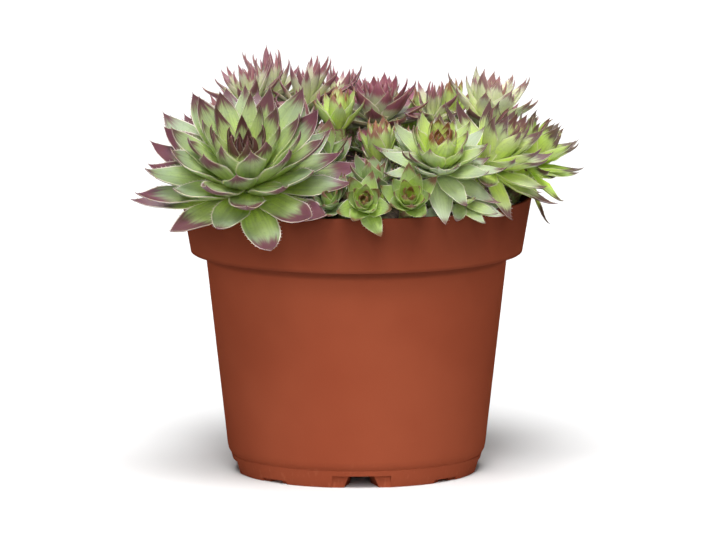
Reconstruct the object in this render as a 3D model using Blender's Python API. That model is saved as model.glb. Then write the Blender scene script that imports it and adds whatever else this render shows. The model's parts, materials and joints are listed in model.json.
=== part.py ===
"""Potted houseleek: a clump of succulent rosettes rooted in soil, in a round plastic nursery pot.

Blender units are metres, +Z up. The origin is the centre of the pot's foot, on the surface that the pot
stands on, and the side that the clump is seen from is -Y. Sizes are given in millimetres, and MM turns
them into metres where a mesh is made.

Each rosette is a plant of its own: a stem in a plain hole in the soil, a crown, and leaves in a
golden-angle spiral from the low outer ones to the upright heart. A leaf that would cross the pot, the soil
or an earlier rosette grows up until it is clear, as a crowded leaf does.
"""

import math
import random

import bmesh
import bpy
from mathutils import Matrix, Vector
from mathutils.bvhtree import BVHTree
from mathutils.noise import noise

MM = 0.001

# Pot: a 12 cm round nursery pot with a deep collar
POT_HEIGHT = 94.7
RIM_RADIUS = 60.0
COLLAR_FOOT_RADIUS = 56.7
COLLAR_FOOT_HEIGHT = 75.6
BODY_TOP_RADIUS = 51.7
BODY_FOOT_RADIUS = 44.1
BODY_FOOT_HEIGHT = 7.4
SKIRT_TOP_RADIUS = 42.8
SKIRT_TOP_HEIGHT = 5.6
SKIRT_RADIUS = 41.3
WALL = 1.1
FLOOR = 1.0
EDGE_ROUND = 0.5
POT_STEPS = 40
POT_SHARP_ANGLE = 30

# Foot: pads on the surface, parted by raised channels that run in to a ring round the centre pad.
# Every second channel is a low slit.
CHANNELS = 8
CHANNEL_HEIGHT = 4.2
SLIT_HEIGHT = 1.2
CHANNEL_TURN = 2.4
WIDE_NOTCH = 10.0
NARROW_NOTCH = 5.6
NOTCH_DEPTH = 1.3
THROAT_SHARE = 0.38
THROAT_WIDENING = 1.1
MOUTH_SHARE = 0.68
THROAT_START = 12.0
THROAT_END = 31.0
CENTRE_PAD_RADIUS = 8.5
RING_CHANNEL_RADIUS = 16.0
RING_STEPS = 16
DRAIN_RADIUS = 2.6
DRAIN_PLACE = 29.0
DRAIN_SIDES = 8
BELOW = 2.0
PAST = 1.0
PAST_SKIRT = 6.0

# Soil: a dome that meets the collar a little below the rim
GAP = 0.3
SOIL_AT_RIM = 89.5
SOIL_DOME = 18.0
SOIL_LUMP = 0.7
LUMP_SCALE = 0.35
SOIL_STEPS = 26
SOIL_RINGS = (1.0, 0.84, 0.66, 0.46, 0.24)

# Stem and crown, as shares of the crown's radius where they have no unit
STEM_DEPTH = 9.0
STEM_SIDES = 5
STEM_SHARE = 0.5
HEART_SHARE = 0.12
HEART_HEIGHT = 0.42
ROOT_PULL = 0.84
CORE_LEAST = 0.8
CORE_SHARE = 0.15
TURN_STEP = 1.9

# Leaves, as shares of the leaf length or width. A loss is a pair: what goes evenly towards the heart,
# and what goes late.
GOLDEN_ANGLE = math.radians(137.508)
HEART_RISE = math.radians(80)
INNERMOST = math.radians(89)
RISE_POWER = 1.2
CURL_OUTERMOST = 0.25
CURL_GAIN = 1.2
CLIMB = 0.24
ROOT_RING = 0.5
ROOT_RING_LOSS = 0.7
LENGTH_LOSS = (0.25, 0.35)
WIDTH_LOSS = (0.25, 0.4)
ROOT_WIDTH = 0.34
WIDEST = 0.62
SHOULDER = 0.7
THICK_LEAST = 0.5
THICK_SHARE = 0.048
THIN_AT_TIP = 0.6
LEAF_SHARP_ANGLE = 35

# Where along its rib a leaf has sections, by the least leaf length and the greatest share of the way in
SECTIONS = [
    (30.0, 0.45, (0.0, 0.3, 0.62, 0.86)),
    (22.5, 0.5, (0.0, 0.58, 0.85)),
    (0.0, 1.0, (0.0, 0.6)),
]

# How much leaves differ, and how a crowded one is bent clear
SEED = 26
UNEVEN_TURN = math.radians(5)
UNEVEN_RISE = math.radians(3)
UNEVEN_LENGTH = (0.92, 1.05)
LEAF_CLEARANCE = 0.35
BEND_STEP = math.radians(6)
BEND_EASE = 0.9
STEEPEST = math.radians(86)
SHORTER = 0.86
SHORTENINGS = 4

# A rosette: its name, crown x, y and z, lean to +x and +y in degrees, leaf length, number of leaves,
# rise of the outermost leaf and curl of a leaf in degrees, leaf width over length, and finish.
ROSETTES = [
    ("rosette_big", -37, -38, 102.5, -3, -30, 37, 42, -6, 24, 0.38, "plum"),
    ("bud_front_left", 2.5, -58.3, 98.8, 0, -62, 13, 13, -4, 34, 0.52, "lime"),
    ("bud_front_right", 17.5, -56.2, 99.5, 5, -58, 13.5, 13, -4, 34, 0.51, "lime"),
    ("cup_front_right", 27.5, -42, 108.5, 6, -28, 23, 24, -14, 50, 0.40, "green"),
    ("fan_right", 44, -26, 107, 27, -20, 26, 24, -16, 34, 0.36, "green"),
    ("fan_far_right", 57, -4, 105, 40, -8, 21, 20, -10, 30, 0.36, "green"),
    ("bud_middle", 8, -29, 110, 0, -8, 15.5, 12, 42, 40, 0.50, "lime"),
    ("tuft_front", 6, -42, 100, 0, -12, 16, 8, 30, 14, 0.50, "green"),
    ("purple_cup", 8, 5, 118, 0, -6, 19, 20, 4, 34, 0.46, "plum"),
    ("bud_inner_left", -6.5, -10, 118.5, 2, -8, 15, 11, 20, 34, 0.46, "lime"),
    ("cup_top_right", 44, 8, 117, 15, -2, 21, 18, 30, 20, 0.42, "green"),
    ("spike_left", -36, 6, 122.5, -14, -6, 19, 15, 34, 18, 0.38, "plum"),
    ("spike_back_left", -29, 20, 123, -4, 2, 20, 14, 38, 16, 0.36, "plum"),
    ("spike_middle", -18, 11, 122.5, 4, -4, 20, 15, 36, 18, 0.36, "plum"),
    ("spike_behind", -7, 23, 120, 4, 4, 19, 11, 32, 18, 0.36, "plum"),
    ("spike_right", 26, 6, 119, 4, -4, 16, 10, 32, 18, 0.38, "plum"),
    ("bud_right", 32, 20, 117, 4, 4, 15, 12, 30, 20, 0.42, "lime"),
    ("edge_left", -43, 3, 111, -26, -4, 18, 16, -4, 30, 0.40, "plum"),
    ("tuft_inner", -12, -24, 107, -2, -22, 17, 11, 0, 30, 0.46, "green"),
    ("tuft_right", 20, -17, 108, 2, -10, 17, 8, 5, 30, 0.42, "green"),
    ("cup_behind_left", -43, 27, 107, -24, 14, 22, 16, -4, 30, 0.42, "plum"),
    ("edge_back_left", -26, 45, 102, -14, 34, 23, 16, -8, 30, 0.44, "green"),
    ("cup_behind_middle", 0, 36, 111, 0, 18, 23, 15, -6, 30, 0.44, "plum"),
    ("edge_back_middle", -1, 56, 97.5, -2, 46, 14, 11, 0, 40, 0.56, "lime"),
    ("edge_back_right", 22, 46, 103, 12, 36, 23, 14, -8, 30, 0.44, "green"),
    ("edge_right_back", 45, 30, 105, 32, 24, 22, 16, -6, 30, 0.42, "plum"),
    ("bud_behind_right", 18, 29, 113, 2, 10, 16, 11, 8, 30, 0.46, "lime"),
    ("tuft_left", -53, -8, 98.5, -34, -6, 15, 9, 4, 30, 0.46, "green"),
    ("tuft_behind_left", -25, 30, 107, -6, 16, 15, 9, 6, 30, 0.46, "green"),
    ("tuft_back_left", -49, 13, 99, -34, 8, 13, 8, 6, 30, 0.46, "lime"),
    ("cup_inner_left", -17.5, -7, 113.5, -4, -6, 19, 10, -4, 30, 0.44, "plum"),
    ("tuft_back", -13, 51, 98, -8, 38, 14, 9, 4, 30, 0.46, "green"),
    ("tuft_back_right", 36, 44, 98.5, 24, 30, 14, 9, 4, 30, 0.46, "lime"),
    ("tuft_right_edge", 55, 14, 98.5, 38, 6, 14, 9, 4, 30, 0.46, "green"),
    ("tuft_behind_right", 33, 33, 105, 10, 12, 14, 9, 10, 30, 0.46, "plum"),
]

# Colour and roughness of each finish
FINISHES = {
    "plum": ((0.28, 0.17, 0.16), 0.45),
    "green": ((0.27, 0.42, 0.13), 0.45),
    "lime": ((0.36, 0.50, 0.08), 0.45),
    "plastic": ((0.36, 0.085, 0.04), 0.42),
    "earth": ((0.045, 0.03, 0.02), 0.95),
}


def clear_scene():
    for old in list(bpy.data.objects):
        bpy.data.objects.remove(old)


def finish(name, kind):
    colour, roughness = FINISHES[kind]
    material = bpy.data.materials.new(name)
    material.use_nodes = True
    shader = material.node_tree.nodes["Principled BSDF"]
    shader.inputs["Base Color"].default_value = (*colour, 1)
    shader.inputs["Roughness"].default_value = roughness
    shader.inputs["Metallic"].default_value = 0
    return material


def object_of(name, bm):
    mesh = bpy.data.meshes.new(name)
    bm.to_mesh(mesh)
    bm.free()
    made = bpy.data.objects.new(name, mesh)
    bpy.context.scene.collection.objects.link(made)
    return made


def object_from(name, points, faces):
    """An object from points in millimetres, and faces as tuples of point numbers."""
    bm = bmesh.new()
    verts = [bm.verts.new(p * MM) for p in points]
    for face in faces:
        bm.faces.new([verts[i] for i in face])
    return object_of(name, bm)


def lathe(name, profile, steps):
    """A body turned round Z from a profile of (radius, height) that starts and ends on the axis."""
    bm = bmesh.new()
    verts = [bm.verts.new((r * MM, 0, z * MM)) for r, z in profile]
    edges = [bm.edges.new(pair) for pair in zip(verts, verts[1:])]
    turn = {"cent": (0, 0, 0), "axis": (0, 0, 1), "angle": math.tau, "steps": steps}
    bmesh.ops.spin(bm, geom=verts + edges, use_merge=True, **turn)
    bmesh.ops.remove_doubles(bm, verts=bm.verts, dist=1e-6)
    bmesh.ops.recalc_face_normals(bm, faces=bm.faces)
    return object_of(name, bm)


def prism(name, outline, low, high, turn):
    """An upright block: an outline of (x, y) points, from one height to another, turned about Z."""
    bm = bmesh.new()
    base = bm.faces.new([bm.verts.new((x * MM, y * MM, low * MM)) for x, y in outline])
    lifted = bmesh.ops.extrude_face_region(bm, geom=[base])["geom"]
    upper = [v for v in lifted if isinstance(v, bmesh.types.BMVert)]
    bmesh.ops.translate(bm, vec=(0, 0, (high - low) * MM), verts=upper)
    bmesh.ops.rotate(bm, verts=bm.verts, cent=(0, 0, 0), matrix=Matrix.Rotation(turn, 3, "Z"))
    bmesh.ops.recalc_face_normals(bm, faces=bm.faces)
    return object_of(name, bm)


def boolean(target, tools, operation, solver="EXACT"):
    """Joins the tools to the target or cuts them from it, applies that, and removes the tools."""
    group = bpy.data.collections.new("tools")
    bpy.context.scene.collection.children.link(group)
    for tool in tools:
        group.objects.link(tool)
    modifier = target.modifiers.new(operation, "BOOLEAN")
    modifier.operation = operation
    modifier.solver = solver
    modifier.operand_type = "COLLECTION"
    modifier.collection = group
    graph = bpy.context.evaluated_depsgraph_get()
    whole = bpy.data.meshes.new_from_object(target.evaluated_get(graph))
    target.modifiers.clear()
    target.data = whole
    for tool in tools:
        bpy.data.objects.remove(tool)
    bpy.data.collections.remove(group)


def smooth(made, limit):
    made.data.shade_smooth()
    made.data.set_sharp_from_angle(angle=math.radians(limit))


def channel_turn(number):
    return math.radians(CHANNEL_TURN - 90 + 360 / CHANNELS * number)


def channel_outline(notch, grow):
    """A channel's plan along +X: a throat, a funnel, and the wider notch in the outside of the skirt."""
    throat, mouth, back = notch * THROAT_SHARE, notch * MOUTH_SHARE, SKIRT_RADIUS - NOTCH_DEPTH - grow
    half = [
        (THROAT_START, throat),
        (THROAT_END, throat * THROAT_WIDENING),
        (back, mouth),
        (back, notch),
        (SKIRT_RADIUS + PAST_SKIRT, notch),
    ]
    upper = [(x, y + grow) for x, y in half]
    return upper + [(x, -y) for x, y in reversed(upper)]


def ring_channel(grow):
    """The ring that joins the channels round the centre pad."""
    high = CHANNEL_HEIGHT + grow
    inner, outer = CENTRE_PAD_RADIUS - grow, RING_CHANNEL_RADIUS + grow
    disc = lathe("ring", [(0, -BELOW), (outer, -BELOW), (outer, high), (0, high)], RING_STEPS)
    low = -BELOW - PAST
    pad = lathe("pad", [(0, low), (inner, low), (inner, high + PAST), (0, high + PAST)], RING_STEPS)
    boolean(disc, [pad], "DIFFERENCE")
    return disc


def underside(grow):
    """All the channels under the floor in one body, grown by a margin."""
    whole = ring_channel(grow)
    channels = []
    for k in range(CHANNELS):
        notch, high = (WIDE_NOTCH, CHANNEL_HEIGHT) if k % 2 == 0 else (NARROW_NOTCH, SLIT_HEIGHT)
        channels.append(prism("channel", channel_outline(notch, grow), -BELOW, high + grow, channel_turn(k)))
    boolean(whole, channels, "UNION", "MANIFOLD")
    return whole


def drains():
    """Round drain holes in the roofs of the wide channels."""
    corners = [math.tau * i / DRAIN_SIDES for i in range(DRAIN_SIDES)]
    outline = [(DRAIN_PLACE + DRAIN_RADIUS * math.cos(a), DRAIN_RADIUS * math.sin(a)) for a in corners]
    low, high = CHANNEL_HEIGHT - PAST, CHANNEL_HEIGHT + FLOOR + PAST
    return [prism("drain", outline, low, high, channel_turn(k)) for k in range(0, CHANNELS, 2)]


def inner_radius(height, gap):
    """The inside radius of the collar at a height, less a gap."""
    share = (height - COLLAR_FOOT_HEIGHT) / (POT_HEIGHT - COLLAR_FOOT_HEIGHT)
    return COLLAR_FOOT_RADIUS + (RIM_RADIUS - COLLAR_FOOT_RADIUS) * share - WALL - gap


def body_inside(gap):
    """The inside of the pot's wall, from where the body starts to the collar's ledge, less a gap."""
    wall = WALL + gap
    ledge = COLLAR_FOOT_HEIGHT + wall
    return [
        (BODY_FOOT_RADIUS - wall, BODY_FOOT_HEIGHT),
        (BODY_TOP_RADIUS - wall, ledge),
        (COLLAR_FOOT_RADIUS - wall, ledge),
    ]


def pot():
    e = EDGE_ROUND
    outside = [
        (0, 0),
        (SKIRT_RADIUS - e, 0),
        (SKIRT_RADIUS, e),
        (SKIRT_TOP_RADIUS, SKIRT_TOP_HEIGHT),
        (BODY_FOOT_RADIUS - e, BODY_FOOT_HEIGHT - e),
        (BODY_FOOT_RADIUS, BODY_FOOT_HEIGHT + e),
        (BODY_TOP_RADIUS, COLLAR_FOOT_HEIGHT),
        (COLLAR_FOOT_RADIUS - e, COLLAR_FOOT_HEIGHT),
        (COLLAR_FOOT_RADIUS, COLLAR_FOOT_HEIGHT + e),
        (RIM_RADIUS, POT_HEIGHT - e),
        (RIM_RADIUS - e, POT_HEIGHT),
        (0, POT_HEIGHT),
    ]
    body = lathe("pot", outside, POT_STEPS)
    skirt = [(SKIRT_RADIUS - e - WALL, FLOOR), (SKIRT_TOP_RADIUS - WALL, SKIRT_TOP_HEIGHT)]
    above = POT_HEIGHT + PAST
    mouth = [(inner_radius(above, 0), above), (0, above)]
    hollow = lathe("hollow", [(0, FLOOR), *skirt, *body_inside(0), *mouth], POT_STEPS)
    boolean(hollow, [underside(FLOOR)], "DIFFERENCE")
    boolean(body, [hollow], "DIFFERENCE")
    boolean(body, [underside(0)], "DIFFERENCE")
    boolean(body, drains(), "DIFFERENCE")
    body.data.materials.append(finish("brown_plastic", "plastic"))
    smooth(body, POT_SHARP_ANGLE)
    return body


def soil_height(x, y):
    """The height of the soil's top, with small lumps that die out at the rim."""
    share = min(1.0, math.hypot(x, y) / RIM_RADIUS)
    lump = SOIL_LUMP * noise(Vector((x * LUMP_SCALE, y * LUMP_SCALE, 4.0)))
    return SOIL_AT_RIM + (SOIL_DOME + lump) * (1 - share * share)


def soil(holes):
    """The soil fills the pot above its floor's ridges, and has a plain hole for each stem."""
    floor = CHANNEL_HEIGHT + FLOOR + GAP
    bottom = [(0, floor), (SKIRT_TOP_RADIUS - WALL - 2 * GAP, floor)]
    edge = inner_radius(SOIL_AT_RIM, GAP)
    rings = [(edge * share, SOIL_AT_RIM) for share in SOIL_RINGS]
    body = lathe("soil", [*bottom, *body_inside(GAP), *rings, (0, SOIL_AT_RIM)], SOIL_STEPS)
    for v in body.data.vertices:
        if v.co.z > (SOIL_AT_RIM - GAP) * MM:
            v.co.z = soil_height(v.co.x / MM, v.co.y / MM) * MM
    boolean(body, holes, "DIFFERENCE")
    body.data.materials.append(finish("potting_soil", "earth"))
    return body


def tube_faces(rings, sides):
    """The side faces of a tube whose points are numbered ring by ring, outside out."""
    starts = range(0, (rings - 1) * sides, sides)
    pairs = [(i, (i + 1) % sides) for i in range(sides)]
    return [(k + i, k + j, k + sides + j, k + sides + i) for k in starts for i, j in pairs]


class Rosette:
    """One plant: where its crown is, how it leans, and what its leaves are like."""

    def __init__(self, number, row):
        (self.name, x, y, z, lean_x, lean_y, self.length, self.count) = row[:8]
        rise, curl, self.breadth, self.finish = row[8:]
        self.rise, self.curl = math.radians(rise), math.radians(curl)
        self.crown = Vector((x, y, z))
        tilt = (math.tan(math.radians(lean_x)), math.tan(math.radians(lean_y)), 1)
        self.axis = Vector(tilt).normalized()
        self.across = self.axis.cross(Vector((0, 1, 0))).normalized()
        self.along = self.axis.cross(self.across)
        self.turn = number * TURN_STEP
        self.chance = random.Random(number + SEED)
        self.core = CORE_LEAST + self.length * CORE_SHARE
        self.leaves = []

    def stalk(self, grow=0.0):
        """Points and faces of stem and crown: from the foot, out to the crown, in to the heart."""
        foot = Vector((self.crown.x * ROOT_PULL, self.crown.y * ROOT_PULL, 0))
        foot.z = soil_height(foot.x, foot.y) - STEM_DEPTH - grow
        heart = self.crown + self.axis * self.length * HEART_HEIGHT
        points = []
        for centre, share in ((foot, STEM_SHARE), (self.crown, 1.0), (heart, HEART_SHARE)):
            for i in range(STEM_SIDES):
                angle = math.tau * i / STEM_SIDES
                out = self.across * math.cos(angle) + self.along * math.sin(angle)
                points.append(centre + out * (self.core * share + grow))
        top = tuple(range(2 * STEM_SIDES, 3 * STEM_SIDES))
        return points, [*tube_faces(3, STEM_SIDES), tuple(reversed(range(STEM_SIDES))), top]


def left_of(loss, inward):
    """What a loss leaves of a leaf's length or width, at a share of the way in to the heart."""
    evenly, late = loss
    return 1 - evenly * inward - late * inward**3


class Leaf:
    """A blade on a rib that starts in the crown and curls up. It widens, then narrows to a point."""

    def __init__(self, rosette, number):
        inward = number / rosette.count
        chance = rosette.chance
        angle = number * GOLDEN_ANGLE + rosette.turn + chance.uniform(-UNEVEN_TURN, UNEVEN_TURN)
        self.out = rosette.across * math.cos(angle) + rosette.along * math.sin(angle)
        self.up = rosette.axis
        self.side = self.up.cross(self.out)
        climb = rosette.length * CLIMB * inward
        ring = rosette.core * ROOT_RING * (1 - ROOT_RING_LOSS * inward)
        self.root = rosette.crown + self.up * climb + self.out * ring
        self.length = rosette.length * left_of(LENGTH_LOSS, inward) * chance.uniform(*UNEVEN_LENGTH)
        self.rise = rosette.rise + (HEART_RISE - rosette.rise) * inward**RISE_POWER
        self.rise += chance.uniform(-UNEVEN_RISE, UNEVEN_RISE)
        self.curl = min(rosette.curl * (CURL_OUTERMOST + CURL_GAIN * inward), INNERMOST - self.rise)
        self.width = rosette.length * rosette.breadth * left_of(WIDTH_LOSS, inward)
        self.thick = THICK_LEAST + rosette.length * THICK_SHARE
        fits = (at for least, most, at in SECTIONS if rosette.length > least and inward < most)
        self.stops = next(fits)

    def rib(self, t):
        """The point at a share t of the rib's length, and the way that the face of the blade looks there."""
        bend = self.rise + self.curl * t
        if abs(self.curl) < 1e-4:
            x, z = math.cos(bend) * t, math.sin(bend) * t
        else:
            x = (math.sin(bend) - math.sin(self.rise)) / self.curl
            z = (math.cos(self.rise) - math.cos(bend)) / self.curl
        point = self.root + (self.out * x + self.up * z) * self.length
        return point, self.up * math.cos(bend) - self.out * math.sin(bend)

    def half_width(self, t):
        if t < WIDEST:
            rounded = math.sin(math.pi / 2 * t / WIDEST)
            return self.width / 2 * (ROOT_WIDTH + (1 - ROOT_WIDTH) * rounded)
        return self.width / 2 * math.cos(math.pi / 2 * (t - WIDEST) / (1 - WIDEST)) ** SHOULDER

    def blade(self, grow=0.0):
        """Points and faces of the blade: a flat upper face between two edges, and a keel below."""
        points = []
        for t in self.stops:
            centre, normal = self.rib(t)
            edge = self.side * (self.half_width(t) + grow)
            points.append(centre + edge + normal * grow)
            points.append(centre - edge + normal * grow)
            points.append(centre - normal * (self.thick * (1 - THIN_AT_TIP * t) + grow))
        tip = len(points)
        points.append(self.rib(1 + grow / self.length)[0])
        point = [(tip - 3, tip - 2, tip), (tip - 2, tip - 1, tip), (tip - 1, tip - 3, tip)]
        return points, [*tube_faces(len(self.stops), 3), *point, (2, 1, 0)]


def tree_of(shapes):
    """A search tree of several shapes, each a pair of points and faces."""
    points, faces = [], []
    for some_points, some_faces in shapes:
        start = len(points)
        points += some_points
        faces += [tuple(i + start for i in face) for face in some_faces]
    return BVHTree.FromPolygons(points, faces)


def shape_of(made):
    points = [v.co / MM for v in made.data.vertices]
    return points, [tuple(p.vertices) for p in made.data.polygons]


def clear(leaf, blocked):
    around = tree_of([leaf.blade(LEAF_CLEARANCE)])
    return not any(around.overlap(tree) for tree in blocked)


def bent_clear(leaf, blocked):
    """Raises a leaf that would cross something, and shortens it if that isn't enough."""
    rise, curl = leaf.rise, leaf.curl
    for _ in range(SHORTENINGS):
        leaf.rise, leaf.curl = rise, curl
        while leaf.rise < STEEPEST:
            if clear(leaf, blocked):
                return True
            leaf.rise += BEND_STEP
            leaf.curl *= BEND_EASE
        leaf.length *= SHORTER
        leaf.width *= SHORTER
    return False


def grow_leaves(rosettes, still):
    """Grows each rosette in turn, its leaves clear of pot, soil, other stalks and earlier rosettes."""
    stalks = {r.name: r.stalk(LEAF_CLEARANCE) for r in rosettes}
    grown = []
    for rosette in rosettes:
        others = [stalks[r.name] for r in rosettes if r is not rosette]
        blocked = [tree_of([*still, *others])]
        if grown:
            blocked.append(tree_of(grown))
        for number in range(rosette.count):
            leaf = Leaf(rosette, number)
            if bent_clear(leaf, blocked):
                rosette.leaves.append(leaf)
        grown += [leaf.blade() for leaf in rosette.leaves]


def keep_outer_skin(made):
    """Fills the sealed hollows of a fused body and drops its loose scraps: its largest skin stays."""
    bm = bmesh.new()
    bm.from_mesh(made.data)
    bmesh.ops.triangulate(bm, faces=bm.faces)
    left, skins = set(bm.faces), []
    while left:
        skin, edge = set(), [left.pop()]
        while edge:
            face = edge.pop()
            skin.add(face)
            joined = [e.link_faces for e in face.edges if len(e.link_faces) == 2]
            near = {f for pair in joined for f in pair} & left
            left -= near
            edge += near
        skins.append(skin)
    skins.sort(key=lambda skin: sum(f.calc_area() for f in skin))
    rest = [f for skin in skins[:-1] for f in skin]
    bmesh.ops.delete(bm, geom=rest, context="FACES")
    bm.to_mesh(made.data)
    bm.free()


def plant(rosette):
    """Stem, crown and leaves of one rosette, fused in one body."""
    body = object_from(rosette.name, *rosette.stalk())
    blades = [object_from("leaf", *leaf.blade()) for leaf in rosette.leaves]
    boolean(body, blades, "UNION", "MANIFOLD")
    keep_outer_skin(body)
    body.data.materials.append(finish(rosette.name, rosette.finish))
    smooth(body, LEAF_SHARP_ANGLE)


def main():
    clear_scene()
    rosettes = [Rosette(number, row) for number, row in enumerate(ROSETTES)]
    vessel = pot()
    ground = soil([object_from("hole", *rosette.stalk(GAP)) for rosette in rosettes])
    grow_leaves(rosettes, [shape_of(vessel), shape_of(ground)])
    for rosette in rosettes:
        plant(rosette)


main()
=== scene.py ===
# %% [markdown]
# # A potted houseleek
#
# A houseleek is a clump of rosettes. Each rosette is a plant of its own, with fleshy pointed leaves in a
# spiral, and young ones crowd round old ones until they hide the soil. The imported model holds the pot, the
# soil and every rosette as plain solids at their real size. This script keeps those places and sizes, and
# grows the finished pot, soil and leaves in them.

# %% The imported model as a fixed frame
import json
import math
import random

import bpy
import numpy as np
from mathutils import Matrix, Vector
from mathutils.bvhtree import BVHTree


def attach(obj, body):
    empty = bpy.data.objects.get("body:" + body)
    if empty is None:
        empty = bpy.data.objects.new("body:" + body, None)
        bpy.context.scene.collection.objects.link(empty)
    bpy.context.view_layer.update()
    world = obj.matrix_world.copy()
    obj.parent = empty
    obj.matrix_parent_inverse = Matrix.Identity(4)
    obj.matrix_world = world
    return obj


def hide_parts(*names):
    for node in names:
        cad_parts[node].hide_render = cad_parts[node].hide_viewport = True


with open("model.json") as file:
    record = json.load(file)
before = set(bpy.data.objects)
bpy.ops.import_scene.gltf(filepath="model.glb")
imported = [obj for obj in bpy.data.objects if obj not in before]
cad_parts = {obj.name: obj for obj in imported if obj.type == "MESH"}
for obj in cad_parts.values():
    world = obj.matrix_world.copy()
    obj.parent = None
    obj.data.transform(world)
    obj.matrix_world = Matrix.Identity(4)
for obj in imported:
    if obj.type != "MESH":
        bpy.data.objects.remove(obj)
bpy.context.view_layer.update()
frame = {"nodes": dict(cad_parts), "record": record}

MM = 0.001
slot_of = {part["node"]: part["material_slot"] for part in frame["record"]["subparts"]}

# %% [markdown]
# ## The camera
#
# The pot's rings in the photograph are ellipses, and how flat they are gives the height that the lens looks
# from: about 8 degrees above the table. The rings change little from rim to foot, so the camera stands far
# off with a long lens. An empty could hold the aim, but turning the camera once towards its target is
# simpler.

# %% Camera
CAMERA_AWAY = 3.2
CAMERA_RISE = math.radians(8.37)
CAMERA_LENS = 470.0
CAMERA_AIM = Vector((0.0005, 0.0, 0.0687))


def face(thing, target):
    """Turns a camera or a light so that it looks at a point."""
    thing.rotation_euler = (target - thing.location).to_track_quat("-Z", "Y").to_euler()


behind_lens = Vector((0, -math.cos(CAMERA_RISE), math.sin(CAMERA_RISE)))
bpy.ops.object.camera_add(location=CAMERA_AIM + behind_lens * CAMERA_AWAY)
camera = bpy.context.object
camera.data.lens = CAMERA_LENS
face(camera, CAMERA_AIM)
bpy.context.scene.camera = camera
print("camera at", [round(x, 3) for x in camera.location])

# %% [markdown]
# ## Floor and light
#
# The picture is lit like one in a plant catalogue, on white all round. One soft sun high in front whitens the
# whole floor, however far it runs, and leaves the collar in the plants' shadow. A weaker and wider one low in
# front opens the shadows between the leaves. Area lights alone would leave the far floor grey. A small light
# behind the plant puts a shine on the upper leaves.

# %% Floor, lights and background
FLOOR_RADIUS = 30.0
FLOOR_SIDES = 96
FLOOR_COLOUR = (0.70, 0.70, 0.70)
FLOOR_ROUGHNESS = 0.9
SKY_STRENGTH = 0.20
# Suns: where each shines from, its strength, and how wide it is in degrees
SUNS = [
    (Vector((-0.02, -0.75, 1.5)), 4.3, 32),
    (Vector((-0.03, -1.0, 0.42)), 2.15, 36),
]
TOP_LIGHT_AT = (-0.3, 0.9, 1.6)
TOP_LIGHT_SIZE = 0.8
TOP_LIGHT_POWER = 9.0


def plain_shader(name, colour, roughness):
    """A new material of one colour, with its node tree and its main shader."""
    material = bpy.data.materials.new(name)
    material.use_nodes = True
    shader = material.node_tree.nodes["Principled BSDF"]
    shader.inputs["Base Color"].default_value = (*colour, 1)
    shader.inputs["Roughness"].default_value = roughness
    return material, material.node_tree, shader


def dress(piece, material):
    """Gives a piece one finish, in place of any that it had."""
    piece.data.materials.clear()
    piece.data.materials.append(material)


bpy.ops.mesh.primitive_circle_add(vertices=FLOOR_SIDES, radius=FLOOR_RADIUS, fill_type="NGON")
floor = bpy.context.object
floor.name = "floor"
dress(floor, plain_shader("white_floor", FLOOR_COLOUR, FLOOR_ROUGHNESS)[0])

for place, strength, width in SUNS:
    bpy.ops.object.light_add(type="SUN", location=place)
    sun = bpy.context.object
    sun.data.energy = strength
    sun.data.angle = math.radians(width)
    face(sun, Vector())
bpy.ops.object.light_add(type="AREA", location=TOP_LIGHT_AT)
top_light = bpy.context.object
top_light.data.size = TOP_LIGHT_SIZE
top_light.data.energy = TOP_LIGHT_POWER
face(top_light, CAMERA_AIM)

sky = bpy.data.worlds.new("white_surround")
sky.use_nodes = True
sky.node_tree.nodes["Background"].inputs["Strength"].default_value = SKY_STRENGTH
bpy.context.scene.world = sky
bpy.context.scene.view_settings.view_transform = "Standard"
print("suns", len(SUNS), "from", [[round(x, 2) for x in place.normalized()] for place, _, _ in SUNS])

# %% [markdown]
# ## Drawing a piece out
#
# The pot, the model leaf and even the cutters for the pot's foot have one thing in common: a flat section
# that is drawn out along a line and changes its size on the way. By hand that is a circle, then extrude and
# scale, again and again. The main helper here does just that, so each of them is a short list of stations.

# %% Edit mode helpers
def pick(*pieces):
    """Selects these pieces and no others, because an operator acts on all that is selected."""
    bpy.ops.object.select_all(action="DESELECT")
    for piece in pieces:
        piece.select_set(True)
    if pieces:
        bpy.context.view_layer.objects.active = pieces[0]


def leave_turned_out():
    """Turns all faces of the piece in edit mode outwards, and leaves edit mode."""
    bpy.ops.mesh.select_all(action="SELECT")
    bpy.ops.mesh.normals_make_consistent(inside=False)
    bpy.ops.object.mode_set(mode="OBJECT")


def turn_out(piece):
    """Turns all faces of a piece outwards."""
    pick(piece)
    bpy.ops.object.mode_set(mode="EDIT")
    leave_turned_out()


def drawn_out(name, sides, stations, point=None):
    """A piece drawn out along Z through stations of a height and two half widths, to a point if given."""
    pick()
    if sides == 4:
        bpy.ops.mesh.primitive_plane_add(size=2, enter_editmode=True)
    else:
        bpy.ops.mesh.primitive_circle_add(vertices=sides, radius=1, fill_type="NGON", enter_editmode=True)
    piece = bpy.context.object
    piece.name = name
    z, wide, deep = stations[0]
    bpy.ops.transform.resize(value=(wide, deep, 1), center_override=(0, 0, 0))
    bpy.ops.transform.translate(value=(0, 0, z))
    for next_z, next_wide, next_deep in stations[1:]:
        bpy.ops.mesh.extrude_region_move(TRANSFORM_OT_translate={"value": (0, 0, next_z - z)})
        growth = (next_wide / wide, next_deep / deep, 1)
        bpy.ops.transform.resize(value=growth, center_override=(0, 0, next_z))
        z, wide, deep = next_z, next_wide, next_deep
    if point is not None:
        bpy.ops.mesh.extrude_region_move(TRANSFORM_OT_translate={"value": (0, 0, point - z)})
        bpy.ops.mesh.merge(type="CENTER")
    leave_turned_out()
    return piece


def finished(piece, modifier):
    """Applies a modifier that has been set up on a piece."""
    pick(piece)
    bpy.ops.object.modifier_apply(modifier=modifier.name)


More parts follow.
